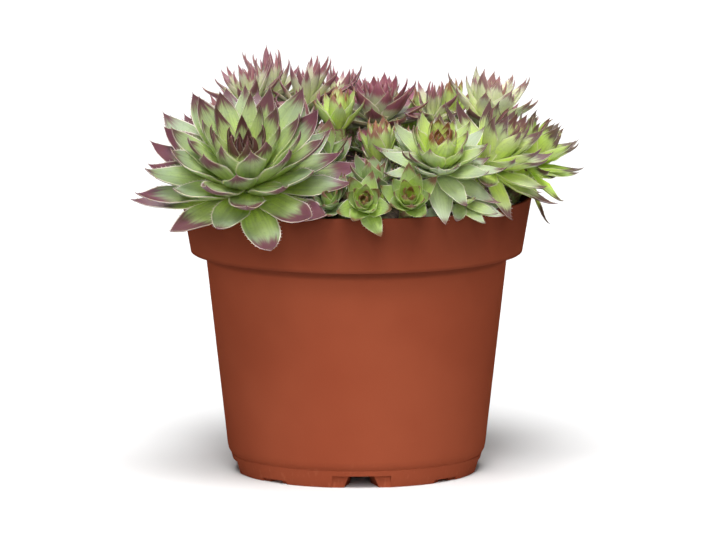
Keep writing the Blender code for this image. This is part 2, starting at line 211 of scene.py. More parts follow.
def cut(piece, tool):
    """Cuts a tool from a piece, and removes the tool."""
    modifier = piece.modifiers.new("cut", "BOOLEAN")
    modifier.operation = "DIFFERENCE"
    modifier.solver = "EXACT"
    modifier.object = tool
    finished(piece, modifier)
    bpy.data.objects.remove(tool)


def new_piece(name, mesh):
    """A new object for a mesh, in the scene."""
    piece = bpy.data.objects.new(name, mesh)
    bpy.context.collection.objects.link(piece)
    return piece


def joined(name, pieces):
    """Joins pieces in one, with a new name."""
    pick(*pieces)
    bpy.ops.object.join()
    whole = bpy.context.object
    whole.name = name
    return whole


# %% [markdown]
# ## The pot
#
# A nursery pot is one thin moulding: a tapered body, a deep collar that a machine can grip, and a foot with
# notches and raised channels that let water out. Its sides could be spun from a profile. Here the outside and
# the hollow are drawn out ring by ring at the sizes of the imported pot, with many more sides so that the rim
# is round. A bevel rounds the moulded edges of the outside, and then the hollow is cut from it.

# %% Pot sizes, in millimetres
POT_HEIGHT = 94.7
RIM_RADIUS = 60.0
BODY_TOP_RADIUS = 51.7
SKIRT_RADIUS = 41.3
# Heights and radii of the collar's lower edge, the body's foot, the curve under it and the skirt's top
COLLAR_FOOT = (75.6, 56.7)
BODY_FOOT = (7.4, 44.1)
FOOT_CURVE = [(6.1, 42.7), (6.7, 43.35), (7.6, 43.85), (9.2, 44.2)]
SKIRT_TOP = (5.85, 42.95)
CHANNEL_HEIGHT = 4.2
POT_WALL = 1.1
POT_FLOOR = 1.0
POT_SIDES = 180
EDGE_ROUND = 0.3
EDGE_STEPS = 3
# Edges that turn by more than this are rounded, and edges that turn by more than the second are shaded sharp
ROUND_FROM = math.radians(40)
SHARP_FROM = math.radians(28)
# How far a cutter reaches past what it cuts
BEYOND = 1.0


def rings(rows):
    """Stations for drawn_out, in metres, from rows of (height, radius) in millimetres."""
    return [(z * MM, r * MM, r * MM) for z, r in rows]


outside = [
    (0, SKIRT_RADIUS),
    SKIRT_TOP,
    *FOOT_CURVE,
    (COLLAR_FOOT[0], BODY_TOP_RADIUS),
    COLLAR_FOOT,
    (POT_HEIGHT, RIM_RADIUS),
]
pot = drawn_out("nursery_pot", POT_SIDES, rings(outside))
rounding = pot.modifiers.new("rounding", "BEVEL")
rounding.width = EDGE_ROUND * MM
rounding.segments = EDGE_STEPS
rounding.limit_method = "ANGLE"
rounding.angle_limit = ROUND_FROM
finished(pot, rounding)
print("pot outside has", len(pot.data.polygons), "faces")


# %% The pot's mouth and its hollow
def collar_radius(z):
    """The collar's outside radius at a height."""
    share = (z - COLLAR_FOOT[0]) / (POT_HEIGHT - COLLAR_FOOT[0])
    return COLLAR_FOOT[1] + (RIM_RADIUS - COLLAR_FOOT[1]) * share


ledge = COLLAR_FOOT[0] + POT_WALL
hollow_rows = [
    (CHANNEL_HEIGHT + POT_FLOOR, SKIRT_TOP[1] - POT_WALL),
    (BODY_FOOT[0], BODY_FOOT[1] - POT_WALL),
    (ledge, BODY_TOP_RADIUS - POT_WALL),
    (ledge, COLLAR_FOOT[1] - POT_WALL),
    (POT_HEIGHT + BEYOND, collar_radius(POT_HEIGHT + BEYOND) - POT_WALL),
]
cut(pot, drawn_out("hollow", POT_SIDES, rings(hollow_rows)))
print("mouth is", 2 * (RIM_RADIUS - POT_WALL), "mm wide")

# %% [markdown]
# The foot stands on pads. Eight raised channels run between them, four wide and four narrow by turns, from
# notches in the skirt to a ring round the centre pad. Each channel is a cutter drawn out from the middle: a
# throat, a funnel and the wide notch. Its roof is narrower than its foot, so that the pot leaves its mould.
# Building the floor round the channels would take many more faces to place than cutting them from it does.

# %% The channels of the foot
CHANNELS = 8
SLIT_HEIGHT = 1.2
# How far the first channel is turned from the front, in degrees
CHANNEL_TURN = 2.4
# Half widths of the wide and of the narrow notches
WIDE_NOTCH = 10.0
NARROW_NOTCH = 5.6
# How far out the throat starts, the funnel starts, the funnel ends and the notch ends
THROAT_FROM = 12.0
FUNNEL_FROM = 31.0
NOTCH_BACK = SKIRT_RADIUS - 1.3
NOTCH_TO = 48.0
# Widths of throat and funnel as shares of the notch's, how much the throat widens, and the roof's share
THROAT_SHARE = 0.38
FUNNEL_SHARE = 0.68
THROAT_WIDENS = 1.1
ROOF_SHARE = 0.62
# The length of the step from the funnel to the notch
SHOULDER = 0.01
# Inside and outside radius of the channel round the centre pad
CHANNEL_RING = (8.5, 16.0)
RING_SIDES = 64
DRAIN_AWAY = 29.0
DRAIN_RADIUS = 2.6
DRAIN_SIDES = 24
# How far below the foot the cutters start
BELOW = 2.0


def column(name, sides, low, high, radius):
    """A plain round column on the pot's axis."""
    return drawn_out(name, sides, rings([(low, radius), (high, radius)]))


def channel_turn(k):
    """The direction of a channel."""
    return math.radians(CHANNEL_TURN - 90 + 360 / CHANNELS * k)


def channel_cutter(notch, height):
    """A cutter along +Z for one channel, from the ring to the notch, and how high its middle lies."""
    throat = notch * THROAT_SHARE
    plan = [
        (THROAT_FROM, throat),
        (FUNNEL_FROM, throat * THROAT_WIDENS),
        (NOTCH_BACK, notch * FUNNEL_SHARE),
        (NOTCH_BACK + SHOULDER, notch),
        (NOTCH_TO, notch),
    ]
    half_height = (height + BELOW) / 2
    cutter = drawn_out("channel", 4, [(x * MM, half_height * MM, half * MM) for x, half in plan])
    for v in cutter.data.vertices:
        if v.co.x > 0 and v.co.z < (NOTCH_BACK + SHOULDER / 2) * MM:
            v.co.y *= ROOF_SHARE
    return cutter, half_height - BELOW


def lay_along(cutter, height, turn):
    """Lays a cutter that was drawn out along Z down along +X, lifts it, and turns it about the pot's axis."""
    for v in cutter.data.vertices:
        up, side, out = v.co
        x = out * math.cos(turn) - side * math.sin(turn)
        y = out * math.sin(turn) + side * math.cos(turn)
        v.co = (x, y, up + height * MM)
    turn_out(cutter)


ring_cutter = column("ring", RING_SIDES, -BELOW, CHANNEL_HEIGHT, CHANNEL_RING[1])
cut(ring_cutter, column("pad", RING_SIDES, -BELOW - BEYOND, CHANNEL_HEIGHT + BEYOND, CHANNEL_RING[0]))
cut(pot, ring_cutter)
for k in range(CHANNELS):
    size = (WIDE_NOTCH, CHANNEL_HEIGHT) if k % 2 == 0 else (NARROW_NOTCH, SLIT_HEIGHT)
    cutter, height = channel_cutter(*size)
    lay_along(cutter, height, channel_turn(k))
    cut(pot, cutter)
drain_top = CHANNEL_HEIGHT + POT_FLOOR + BEYOND
for k in range(0, CHANNELS, 2):
    drain = column("drain", DRAIN_SIDES, CHANNEL_HEIGHT - BEYOND, drain_top, DRAIN_RADIUS)
    for v in drain.data.vertices:
        v.co += Vector((math.cos(channel_turn(k)), math.sin(channel_turn(k)), 0)) * DRAIN_AWAY * MM
    cut(pot, drain)
pick(pot)
bpy.ops.object.shade_smooth_by_angle(angle=SHARP_FROM)
print("pot has", len(pot.data.polygons), "faces")


# %% [markdown]
# ## Shader building blocks
#
# A finish is a chain of small decisions: how far along the leaf, how near the edge, a little noise. Each
# helper adds one such node and hands back its socket, so that a finish reads like a recipe. The scale of a
# noise on Object coordinates is about how many patches it has in a metre.

# %% Shader helpers
def feed(tree, socket, value):
    """Gives a socket a colour, a number or what another socket gives."""
    if isinstance(value, tuple):
        socket.default_value = (*value, 1)
    elif isinstance(value, (int, float)):
        socket.default_value = value
    else:
        tree.links.new(value, socket)


def calc(tree, operation, *values):
    """A Math node on values, each a number or a socket."""
    made = tree.nodes.new("ShaderNodeMath")
    made.operation = operation
    for socket, value in zip(made.inputs, values):
        feed(tree, socket, value)
    return made.outputs[0]


def times(tree, a, b):
    """The product of two values."""
    return calc(tree, "MULTIPLY", a, b)


def step_between(tree, value, start, end, most=1.0):
    """0 up to start, most from end on, and a smooth step between. A step down has its end below its start."""
    made = tree.nodes.new("ShaderNodeMapRange")
    made.interpolation_type = "SMOOTHSTEP"
    for name, given in (("Value", value), ("From Min", start), ("From Max", end), ("To Max", most)):
        feed(tree, made.inputs[name], given)
    return made.outputs["Result"]


def blend(tree, share, a, b):
    """Colour a where share is 0 and colour b where it is 1."""
    made = tree.nodes.new("ShaderNodeMix")
    made.data_type = "RGBA"
    for socket, value in ((made.inputs[0], share), (made.inputs[6], a), (made.inputs[7], b)):
        feed(tree, socket, value)
    return made.outputs[2]


def noise_of(tree, scale, detail=3.0, at=None, stretch=(1, 1, 1)):
    """Noise between 0 and 1 on Object coordinates, or on another vector."""
    mapping = tree.nodes.new("ShaderNodeMapping")
    mapping.inputs["Scale"].default_value = stretch
    if at is None:
        at = tree.nodes.new("ShaderNodeTexCoord").outputs["Object"]
    tree.links.new(at, mapping.inputs["Vector"])
    made = tree.nodes.new("ShaderNodeTexNoise")
    made.inputs["Scale"].default_value = scale
    made.inputs["Detail"].default_value = detail
    tree.links.new(mapping.outputs["Vector"], made.inputs["Vector"])
    return made.outputs["Fac"]


def patches_of(tree, scale, detail, start, end, most=1.0, stretch=(1, 1, 1)):
    """Patches of a noise: 0 where it is below start, and most where it is above end."""
    return step_between(tree, noise_of(tree, scale, detail, stretch=stretch), start, end, most)


def bumped(tree, shader, height, distance, strength=1.0):
    """Raises the surface by a height, over a distance in metres."""
    made = tree.nodes.new("ShaderNodeBump")
    made.inputs["Strength"].default_value = strength
    made.inputs["Distance"].default_value = distance
    tree.links.new(height, made.inputs["Height"])
    tree.links.new(made.outputs["Normal"], shader.inputs["Normal"])


# %% [markdown]
# ## The pot's plastic
#
# The pot is terracotta-brown polypropylene with a matt skin. Plain colour would look like paint, so the brown
# drifts a little over the wall, the skin has a very fine orange-peel, and the foot is slightly scuffed.
# The collar has painted shade for the plants' shadow, darker towards the rim, and the crease under the collar
# has painted shade for the collar's own shadow.

# %% Pot finish
PLASTIC = (0.234, 0.0545, 0.0255)
PLASTIC_DEEP = (0.213, 0.047, 0.0217)
PLASTIC_SCUFF = (0.34, 0.11, 0.06)
# The colour of the painted shade on the collar and in the crease under it
PLASTIC_PAINTED_SHADE = (0.088, 0.022, 0.012)
PLASTIC_ROUGHNESS = 0.42
PLASTIC_SHINE = 0.0
# Heights in millimetres between which each comes in: the collar's painted shade, the crease's painted shade
# from below and from above, and the scuffs
COLLAR_SHADE_HEIGHTS = (COLLAR_FOOT[0] - 12, POT_HEIGHT)
CREASE_SHADE_BELOW = (71.8, 73.9)
CREASE_SHADE_ABOVE = (77.9, 75.6)
SCUFFS = (12.0, 0.0)
CREASE_SHADE_SHARE = 0.62
SCUFF_SHARE = 0.25
# Noises: how many patches in a metre, how much detail, and where a patch starts and is full
DRIFT = (28, 2, 0.3, 0.7)
COLLAR_SHADE_CLOUDS = (60, 3)
SCRATCHES = (900, 4, 0.56, 0.7)
SHEEN_CLOUDS = (300, 3)
ORANGE_PEEL = (1600, 2)
# The scratches' noise is stretched upwards
SCRATCH_STRETCH = (1, 1, 0.25)
# What the clouds add, and what is there without them: of the collar's painted shade, and of the roughness
COLLAR_SHADE_CLOUDED = (0.5, 0.5)
SHEEN = (0.16, 0.36)
# A relief is its depth in metres and its strength
PEEL_RELIEF = (0.0001, 0.25)

plastic, tree, shader = plain_shader("terracotta_plastic", PLASTIC, PLASTIC_ROUGHNESS)
where = tree.nodes.new("ShaderNodeSeparateXYZ")
tree.links.new(tree.nodes.new("ShaderNodeTexCoord").outputs["Object"], where.inputs[0])
collar_shade, below, above, low_down = (
    step_between(tree, where.outputs["Z"], start * MM, end * MM)
    for start, end in (COLLAR_SHADE_HEIGHTS, CREASE_SHADE_BELOW, CREASE_SHADE_ABOVE, SCUFFS)
)
colour = blend(tree, patches_of(tree, *DRIFT), PLASTIC_DEEP, PLASTIC)
# Painted shade on the collar for the plants' shadow, darker towards the rim and clouded
collar_shade = times(tree, collar_shade, calc(tree, "MULTIPLY_ADD", noise_of(tree, *COLLAR_SHADE_CLOUDS), *COLLAR_SHADE_CLOUDED))
# Painted shade in the crease under the collar, for the collar's own shadow
crease_shade = times(tree, times(tree, below, above), CREASE_SHADE_SHARE)
colour = blend(tree, calc(tree, "MAXIMUM", collar_shade, crease_shade), colour, PLASTIC_PAINTED_SHADE)
scratches = patches_of(tree, *SCRATCHES, SCUFF_SHARE, SCRATCH_STRETCH)
colour = blend(tree, times(tree, low_down, scratches), colour, PLASTIC_SCUFF)
tree.links.new(colour, shader.inputs["Base Color"])
sheen = calc(tree, "MULTIPLY_ADD", noise_of(tree, *SHEEN_CLOUDS), *SHEEN)
tree.links.new(sheen, shader.inputs["Roughness"])
bumped(tree, shader, noise_of(tree, *ORANGE_PEEL), *PEEL_RELIEF)
shader.inputs["Specular IOR Level"].default_value = PLASTIC_SHINE
dress(pot, plastic)
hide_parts("pot")
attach(pot, "root")
print("pot finish", plastic.name)

# %% [markdown]
# ## The soil
#
# Little of the soil shows, but what does is dark and crumbly, with thin moss where it stays damp. The packed
# solid keeps its shape and gets a damp peat finish. A bump alone would leave its top smooth against the
# light, so there are crumbs too: one small rough ball, copied over the top in many sizes and turns.

# %% Soil finish
PEAT = (0.035, 0.022, 0.014)
PEAT_DRY = (0.095, 0.062, 0.038)
MOSS = (0.085, 0.11, 0.02)
PEAT_ROUGHNESS = 0.9
CLODS = (420, 6)
CLOD_RELIEF = (0.0015, 0.9)
MOSS_PATCHES = (70, 3, 0.50, 0.62)
# Values of the clods' noise between which they are drier and drier, and between which moss comes in
DRY = (0.48, 0.72)
MOSSY = (0.4, 0.55)

peat, tree, shader = plain_shader("damp_peat", PEAT, PEAT_ROUGHNESS)
clods = noise_of(tree, *CLODS)
colour = blend(tree, step_between(tree, clods, *DRY), PEAT, PEAT_DRY)
mossy = times(tree, patches_of(tree, *MOSS_PATCHES), step_between(tree, clods, *MOSSY))
tree.links.new(blend(tree, mossy, colour, MOSS), shader.inputs["Base Color"])
bumped(tree, shader, clods, *CLOD_RELIEF)
soil = frame["nodes"]["soil"]
dress(soil, peat)
print("soil finish", peat.name)

# %% Crumbs on the soil
CRUMBS = 900
CRUMB_SEED = 5
CRUMB_SIZE = (0.35, 1.5)
# How far small crumbs outnumber large ones, how rough and how stretched they are, and how far they stand out
CRUMB_BIAS = 3
CRUMB_ROUGH = (0.7, 1.15)
CRUMB_STRETCH = (0.7, 1.2)
CRUMB_LIFT = 0.3
SOIL_EDGE = 57.2
# All of the soil's top is above the first height and below the second
SOIL_LOWEST = 84.0
SKY_HEIGHT = 200.0


def tree_in_mm(piece):
    """A search tree of a piece, in millimetres."""
    points = [v.co / MM for v in piece.data.vertices]
    return BVHTree.FromPolygons(points, [tuple(p.vertices) for p in piece.data.polygons])


soil_tree = tree_in_mm(soil)


def soil_at(x, y):
    """The point of the soil's top at a place, or None over a stem's hole."""
    hit = soil_tree.ray_cast(Vector((x, y, SKY_HEIGHT)), Vector((0, 0, -1)))[0]
    return hit if hit is not None and hit.z > SOIL_LOWEST else None


def chance_spot(chance, edge):
    """A chance point of the soil's top within a radius, or None over a stem's hole."""
    turn, away = chance.uniform(0, math.tau), edge * math.sqrt(chance.random())
    return soil_at(away * math.cos(turn), away * math.sin(turn))


pick()
bpy.ops.mesh.primitive_ico_sphere_add(subdivisions=1, radius=1)
crumb = bpy.context.object
chance = random.Random(CRUMB_SEED)
for v in crumb.data.vertices:
    v.co *= chance.uniform(*CRUMB_ROUGH)
crumbs = []
for _ in range(CRUMBS):
    ground = chance_spot(chance, SOIL_EDGE)
    if ground is None:
        continue
    size = CRUMB_SIZE[0] + (CRUMB_SIZE[1] - CRUMB_SIZE[0]) * chance.random() ** CRUMB_BIAS
    copy = new_piece("crumb", crumb.data.copy())
    copy.location = (ground + Vector((0, 0, size * CRUMB_LIFT))) * MM
    copy.rotation_euler = [chance.uniform(0, math.tau) for _ in range(3)]
    copy.scale = [size * MM * chance.uniform(*CRUMB_STRETCH) for _ in range(3)]
    crumbs.append(copy)
bpy.data.objects.remove(crumb)
crumbs = joined("soil_crumbs", crumbs)
pick(crumbs)
bpy.ops.object.transform_apply(location=True, rotation=True, scale=True)
dress(crumbs, peat)
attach(crumbs, "root")
print("crumb faces", len(crumbs.data.polygons))

# %% [markdown]
# ## One leaf
#
# A houseleek's leaf is a thick spoon: narrow where it leaves the stem, widest past the middle, with round
# shoulders and a short sharp point. Its upper face is nearly flat, its back is full, and fine hairs stand on
# its margins. It could be carved from a cube, but drawing it out along its rib gives the outline directly.
# It is copied hundreds of times, so without its hairs a slim leaf has only a few dozen faces, and only the
# broad leaves have more.

# %% The model leaf
# Outlines: root width, where the leaf is widest, how square its shoulders are, and how strong its spine is
OUTLINES = {
    "spoon": (0.34, 0.60, 1.85, 0.10),
    "ogive": (0.34, 0.57, 1.35, 0.10),
    "lance": (0.44, 0.44, 1.35, 0.08),
    "scoop": (0.60, 0.44, 1.25, 0.08),
}
# Sides, stations along the rib, and hairs on each margin
SLIM_DETAIL = (8, (0.0, 0.2, 0.42, 0.62, 0.78, 0.88, 0.945), 8)
BROAD_DETAIL = (12, (0.0, 0.12, 0.25, 0.38, 0.5, 0.62, 0.71, 0.79, 0.86, 0.91, 0.95, 0.975), 13)
DETAIL = {"lance": SLIM_DETAIL, "scoop": SLIM_DETAIL, "spoon": BROAD_DETAIL, "ogive": BROAD_DETAIL}
# How the spine takes over from the shoulders, how much of its thickness the upper face keeps, and the point
SPINE_START = 0.92
FLAT_TOP = 0.16
POINT = 0.999
# Half thickness at the root, and how it swells and then thins towards the point
THICKNESS = (0.8, 0.6, -1.25)
UV_NAME = "along_and_across"


def half_width(t, outline):
    """A leaf's half width at a share of its length, as a share of the widest half."""
    root, widest, squareness, spine = OUTLINES[outline]
    if t <= widest:
        return root + (1 - root) * math.sin(math.pi / 2 * t / widest)
    s = (t - widest) / (1 - widest)
    shoulder = max(0.0, 1 - (s / SPINE_START) ** squareness)
    return (1 - spine) * shoulder + spine * math.sqrt(1 - s)


def thickness(t):
    """A leaf's half thickness at a share of its length, as a share of the thickest."""
    return THICKNESS[0] + THICKNESS[1] * t + THICKNESS[2] * t * t


print("widest half at", {name: row[1] for name, row in OUTLINES.items()})

# %% Hairs on the margins
# How far a hair stands out and leans forward, on which stretch of the leaf hairs stand, how deep a hair is
# sunk, and how thick it is through the leaf and along it
HAIR_REACH = {"spoon": (0.12, 0.012), "ogive": (0.13, 0.014), "lance": (0.19, 0.022), "scoop": (0.13, 0.03)}
HAIRY = (0.30, 0.97)
HAIR_SUNK = 0.04
HAIR_DEEP = 0.05
HAIR_THICK = 0.005


def hairs_of(outline, count):
    """Fine hairs on both margins of a model leaf, each a copy of one thin cone."""
    pick()
    bpy.ops.mesh.primitive_cone_add(vertices=3, radius1=1, depth=1)
    hair = bpy.context.object
    reach, lean = HAIR_REACH[outline]
    hairs = []
    for side in (-1, 1):
        for k in range(count):
            t = HAIRY[0] + (HAIRY[1] - HAIRY[0]) * (k + (0.5 if side > 0 else 0)) / count
            root = half_width(t, outline) - HAIR_SUNK
            copy = new_piece("hair", hair.data.copy())
            for v in copy.data.vertices:
                share = v.co.z + 0.5
                out = side * (root + reach * share)
                v.co = (out, v.co.y * HAIR_DEEP, t + v.co.x * HAIR_THICK + lean * share)
            hairs.append(copy)
    bpy.data.objects.remove(hair)
    return hairs


def model_leaf(outline, sides, stations, hairs):
    """The leaf, one unit long and one unit to each side, with how far along and across as its UV map."""
    leaf = drawn_out(outline, sides, [(t, half_width(t, outline), thickness(t)) for t in stations], 1.0)
    for v in leaf.data.vertices:
        if v.co.y > 0:
            v.co.y *= FLAT_TOP
    leaf = joined(outline, [leaf, *hairs_of(outline, hairs)])
    turn_out(leaf)
    mesh = leaf.data
    uv = mesh.uv_layers.new(name=UV_NAME)
    for polygon in mesh.polygons:
        points = [mesh.vertices[mesh.loops[corner].vertex_index].co for corner in polygon.loop_indices]
        shares = []
        for point in points:
            wide = half_width(min(point.z, stations[-1]), outline)
            shares.append(None if point.z > POINT else 0.5 + 0.5 * max(-1.0, min(1.0, point.x / wide)))
        known = [u for u in shares if u is not None]
        for corner, point, u in zip(polygon.loop_indices, points, shares):
            uv.data[corner].uv = (sum(known) / len(known) if u is None else u, point.z)
    return leaf


models = {outline: model_leaf(outline, *detail) for outline, detail in DETAIL.items()}
print("faces of each model leaf", {name: len(leaf.data.polygons) for name, leaf in models.items()})

# %% [markdown]
# ## How a rosette grows
#
# New leaves rise in the heart, each a golden angle on from the last, and push the older ones outwards and
# down. So a leaf's number gives nearly everything: its direction, its length, how steeply it rises and how it
# curls. Every rosette here has the crown, lean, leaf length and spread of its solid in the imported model.
# Placing leaves by hand would take days, and one spiral for all would look alike, so each kind has a habit.

# %% The rosettes
# name, crown x, y and z, lean to +x and +y in degrees, leaf length, number of the solid's leaves, rise of the
# outermost leaf and curl in degrees, leaf width over length, and look
ROSETTES = [
    ("rosette_big", -37, -38, 102.5, -3, -30, 37, 42, -6, 24, 0.38, "old"),
    ("bud_front_left", 2.5, -58.3, 98.8, 0, -62, 13, 13, -4, 34, 0.52, "bud"),
    ("bud_front_right", 17.5, -56.2, 99.5, 5, -58, 13.5, 13, -4, 34, 0.51, "bud"),
    ("cup_front_right", 27.5, -42, 108.5, 6, -28, 23, 24, -14, 50, 0.40, "bright"),
    ("fan_right", 44, -26, 107, 27, -20, 26, 24, -16, 34, 0.36, "fan"),
    ("fan_far_right", 57, -4, 105, 40, -8, 21, 20, -10, 30, 0.36, "lime"),
    ("bud_middle", 8, -29, 110, 0, -8, 15.5, 12, 42, 40, 0.50, "young"),
    ("tuft_front", 6, -42, 100, 0, -12, 16, 8, 30, 14, 0.50, "tuft"),
    ("purple_cup", 8, 5, 118, 0, -6, 19, 20, 4, 34, 0.46, "purple"),
    ("bud_inner_left", -6.5, -10, 118.5, 2, -8, 15, 11, 20, 34, 0.46, "young"),
    ("cup_top_right", 44, 8, 117, 15, -2, 21, 18, 30, 20, 0.42, "pale"),
    ("spike_left", -36, 6, 122.5, -14, -6, 19, 15, 34, 18, 0.38, "rose"),
    ("spike_back_left", -29, 20, 123, -4, 2, 20, 14, 38, 16, 0.36, "rose"),
    ("spike_middle", -18, 11, 122.5, 4, -4, 20, 15, 36, 18, 0.36, "rose"),
    ("spike_behind", -7, 23, 120, 4, 4, 19, 11, 32, 18, 0.36, "rose"),
    ("spike_right", 26, 6, 119, 4, -4, 16, 10, 32, 18, 0.38, "rose"),
    ("bud_right", 32, 20, 117, 4, 4, 15, 12, 30, 20, 0.42, "young"),
    ("edge_left", -43, 3, 111, -26, -4, 18, 16, -4, 30, 0.40, "rose"),
    ("tuft_inner", -12, -24, 107, -2, -22, 17, 11, 0, 30, 0.46, "tuft"),
    ("tuft_right", 20, -17, 108, 2, -10, 17, 8, 5, 30, 0.42, "bright"),
    ("cup_behind_left", -43, 27, 107, -24, 14, 22, 16, -4, 30, 0.42, "rose"),
    ("edge_back_left", -26, 45, 102, -14, 34, 23, 16, -8, 30, 0.44, "bright"),
    ("cup_behind_middle", 0, 36, 111, 0, 18, 23, 15, -6, 30, 0.44, "purple"),
    ("edge_back_middle", -1, 56, 97.5, -2, 46, 14, 11, 0, 40, 0.56, "bud"),
    ("edge_back_right", 22, 46, 103, 12, 36, 23, 14, -8, 30, 0.44, "old"),
    ("edge_right_back", 45, 30, 105, 32, 24, 22, 16, -6, 30, 0.42, "rose"),
    ("bud_behind_right", 18, 29, 113, 2, 10, 16, 11, 8, 30, 0.46, "young"),
    ("tuft_left", -53, -8, 98.5, -34, -6, 15, 9, 4, 30, 0.46, "tuft"),
    ("tuft_behind_left", -25, 30, 107, -6, 16, 15, 9, 6, 30, 0.46, "tuft"),
    ("tuft_back_left", -49, 13, 99, -34, 8, 13, 8, 6, 30, 0.46, "bud"),
    ("cup_inner_left", -17.5, -7, 113.5, -4, -6, 19, 10, -4, 30, 0.44, "rose"),
    ("tuft_back", -13, 51, 98, -8, 38, 14, 9, 4, 30, 0.46, "tuft"),
    ("tuft_back_right", 36, 44, 98.5, 24, 30, 14, 9, 4, 30, 0.46, "bud"),
    ("tuft_right_edge", 55, 14, 98.5, 38, 6, 14, 9, 4, 30, 0.46, "tuft"),
    ("tuft_behind_right", 33, 33, 105, 10, 12, 14, 9, 10, 30, 0.46, "rose"),
]
print("rosettes", len(ROSETTES))

# %% Habits
# outlines: the outer leaves', the inner leaves', and how far in the inner ones begin
# more: leaves for each leaf of the solid
# droop: how much lower than the solid's the outermost leaves start, in degrees
# rise_power: how late the leaves rise towards the heart
# climb: how far their roots climb the crown, as a share of the leaf length
# length_loss, width_loss: the even and the late loss towards the heart, and late: how late it is
# curl: what the outermost leaf has of the row's curl, and what is added inwards
# closing: how many degrees more the heart's leaves may close
# cup: how hollow the outermost leaf is, and what is added inwards
# fuller: the leaves' width as a share of the row's
# unruly: how far chance moves the leaves
HABITS = {
    "old": dict(
        outlines=(("spoon", "spoon", "ogive"), ("lance",), 0.68), more=1.7, droop=0, rise_power=0.98,
        climb=0.19, length_loss=(0.08, 0.60), width_loss=(0.05, 0.82), late=3.3, curl=(0.3, 0.7), closing=2,
        cup=(0.08, 0.30), fuller=0.90, unruly=1.1,
    ),
    "spike": dict(
        outlines=(("lance",), ("lance",), 1.0), more=2.2, droop=62, rise_power=0.6, climb=0.26,
        length_loss=(0.10, 0.30), width_loss=(0.15, 0.5), late=3, curl=(0.3, 0.4), closing=-2,
        cup=(0.15, 0.30), fuller=0.68, unruly=1.9,
    ),
    "cup": dict(
        outlines=(("lance",), ("lance", "ogive"), 0.5), more=2.2, droop=34, rise_power=0.62, climb=0.20,
        length_loss=(0.30, 0.25), width_loss=(0.05, 0.6), late=5, curl=(0.2, 0.5), closing=3,
        cup=(0.10, 0.45), fuller=0.95, unruly=1.3,
    ),
    "fan": dict(
        outlines=(("lance",), ("lance",), 1.0), more=1.75, droop=24, rise_power=0.62, climb=0.20,
        length_loss=(0.10, 0.35), width_loss=(0.05, 0.6), late=4, curl=(0.2, 0.4), closing=2,
        cup=(0.10, 0.35), fuller=0.98, unruly=1.4,
    ),
    "tuft": dict(
        outlines=(("ogive", "lance"), ("lance",), 0.7), more=1.55, droop=10, rise_power=0.6, climb=0.18,
        length_loss=(0.10, 0.40), width_loss=(0.0, 0.5), late=4, curl=(0.3, 0.4), closing=2,
        cup=(0.15, 0.40), fuller=1.05, unruly=1.5,
    ),
    "tulip": dict(
        outlines=(("lance",), ("scoop", "lance"), 0.3), more=1.6, droop=-12, rise_power=0.55, climb=0.16,
        length_loss=(0.10, 0.25), width_loss=(0.0, 0.6), late=4, curl=(0.2, 0.5), closing=3,
        cup=(0.20, 0.50), fuller=0.80, unruly=1.4,
    ),
    "bud": dict(
        outlines=(("scoop",), ("scoop", "lance"), 0.6), more=1.4, droop=-22, rise_power=0.75, climb=0.16,
        length_loss=(0.10, 0.30), width_loss=(0.0, 0.6), late=4, curl=(0.4, 0.6), closing=5,
        cup=(0.25, 0.50), fuller=1.05, unruly=1.6,
    ),
}
HABIT_OF = {
    "old": "old", "rose": "spike", "purple": "fan", "bright": "cup", "fan": "fan", "pale": "fan",
    "young": "tulip", "bud": "bud", "tuft": "tuft", "lime": "fan",
}
print("habits", {habit: sum(HABIT_OF[row[-1]] == habit for row in ROSETTES) for habit in HABITS})

# %% Stem and crown of a rosette
SEED = 26
# How much further each plant is turned than the last, in radians
PLANT_TURN = 1.9
# The crown's radius: its least, and what is added as a share of the leaf length
CROWN = (0.8, 0.15)
# The radius at the stem's foot and in the heart, as shares of the crown's, and how far the heart is above it
FOOT_WIDTH = 0.5
HEART_WIDTH = 0.12
HEART_SHARE = 0.29
# Stems root nearer to the axis than their crowns are, and this deep
ROOT_PULL = 0.84
STEM_DEPTH = 9.0
# How far past a stem's hole the height of the soil is read
PAST_HOLE = 1.0
STEM_SIDES = 10
# Where a stem's foot meets no soil, its top is taken to be at this height
SOIL_GUESS = 100.0


def tube_faces(count, sides):
    """The side faces of a tube whose points are numbered ring by ring."""
    faces = []
    for k in range(0, (count - 1) * sides, sides):
        for i in range(sides):
            j = (i + 1) % sides
            faces.append((k + i, k + j, k + sides + j, k + sides + i))
    return faces


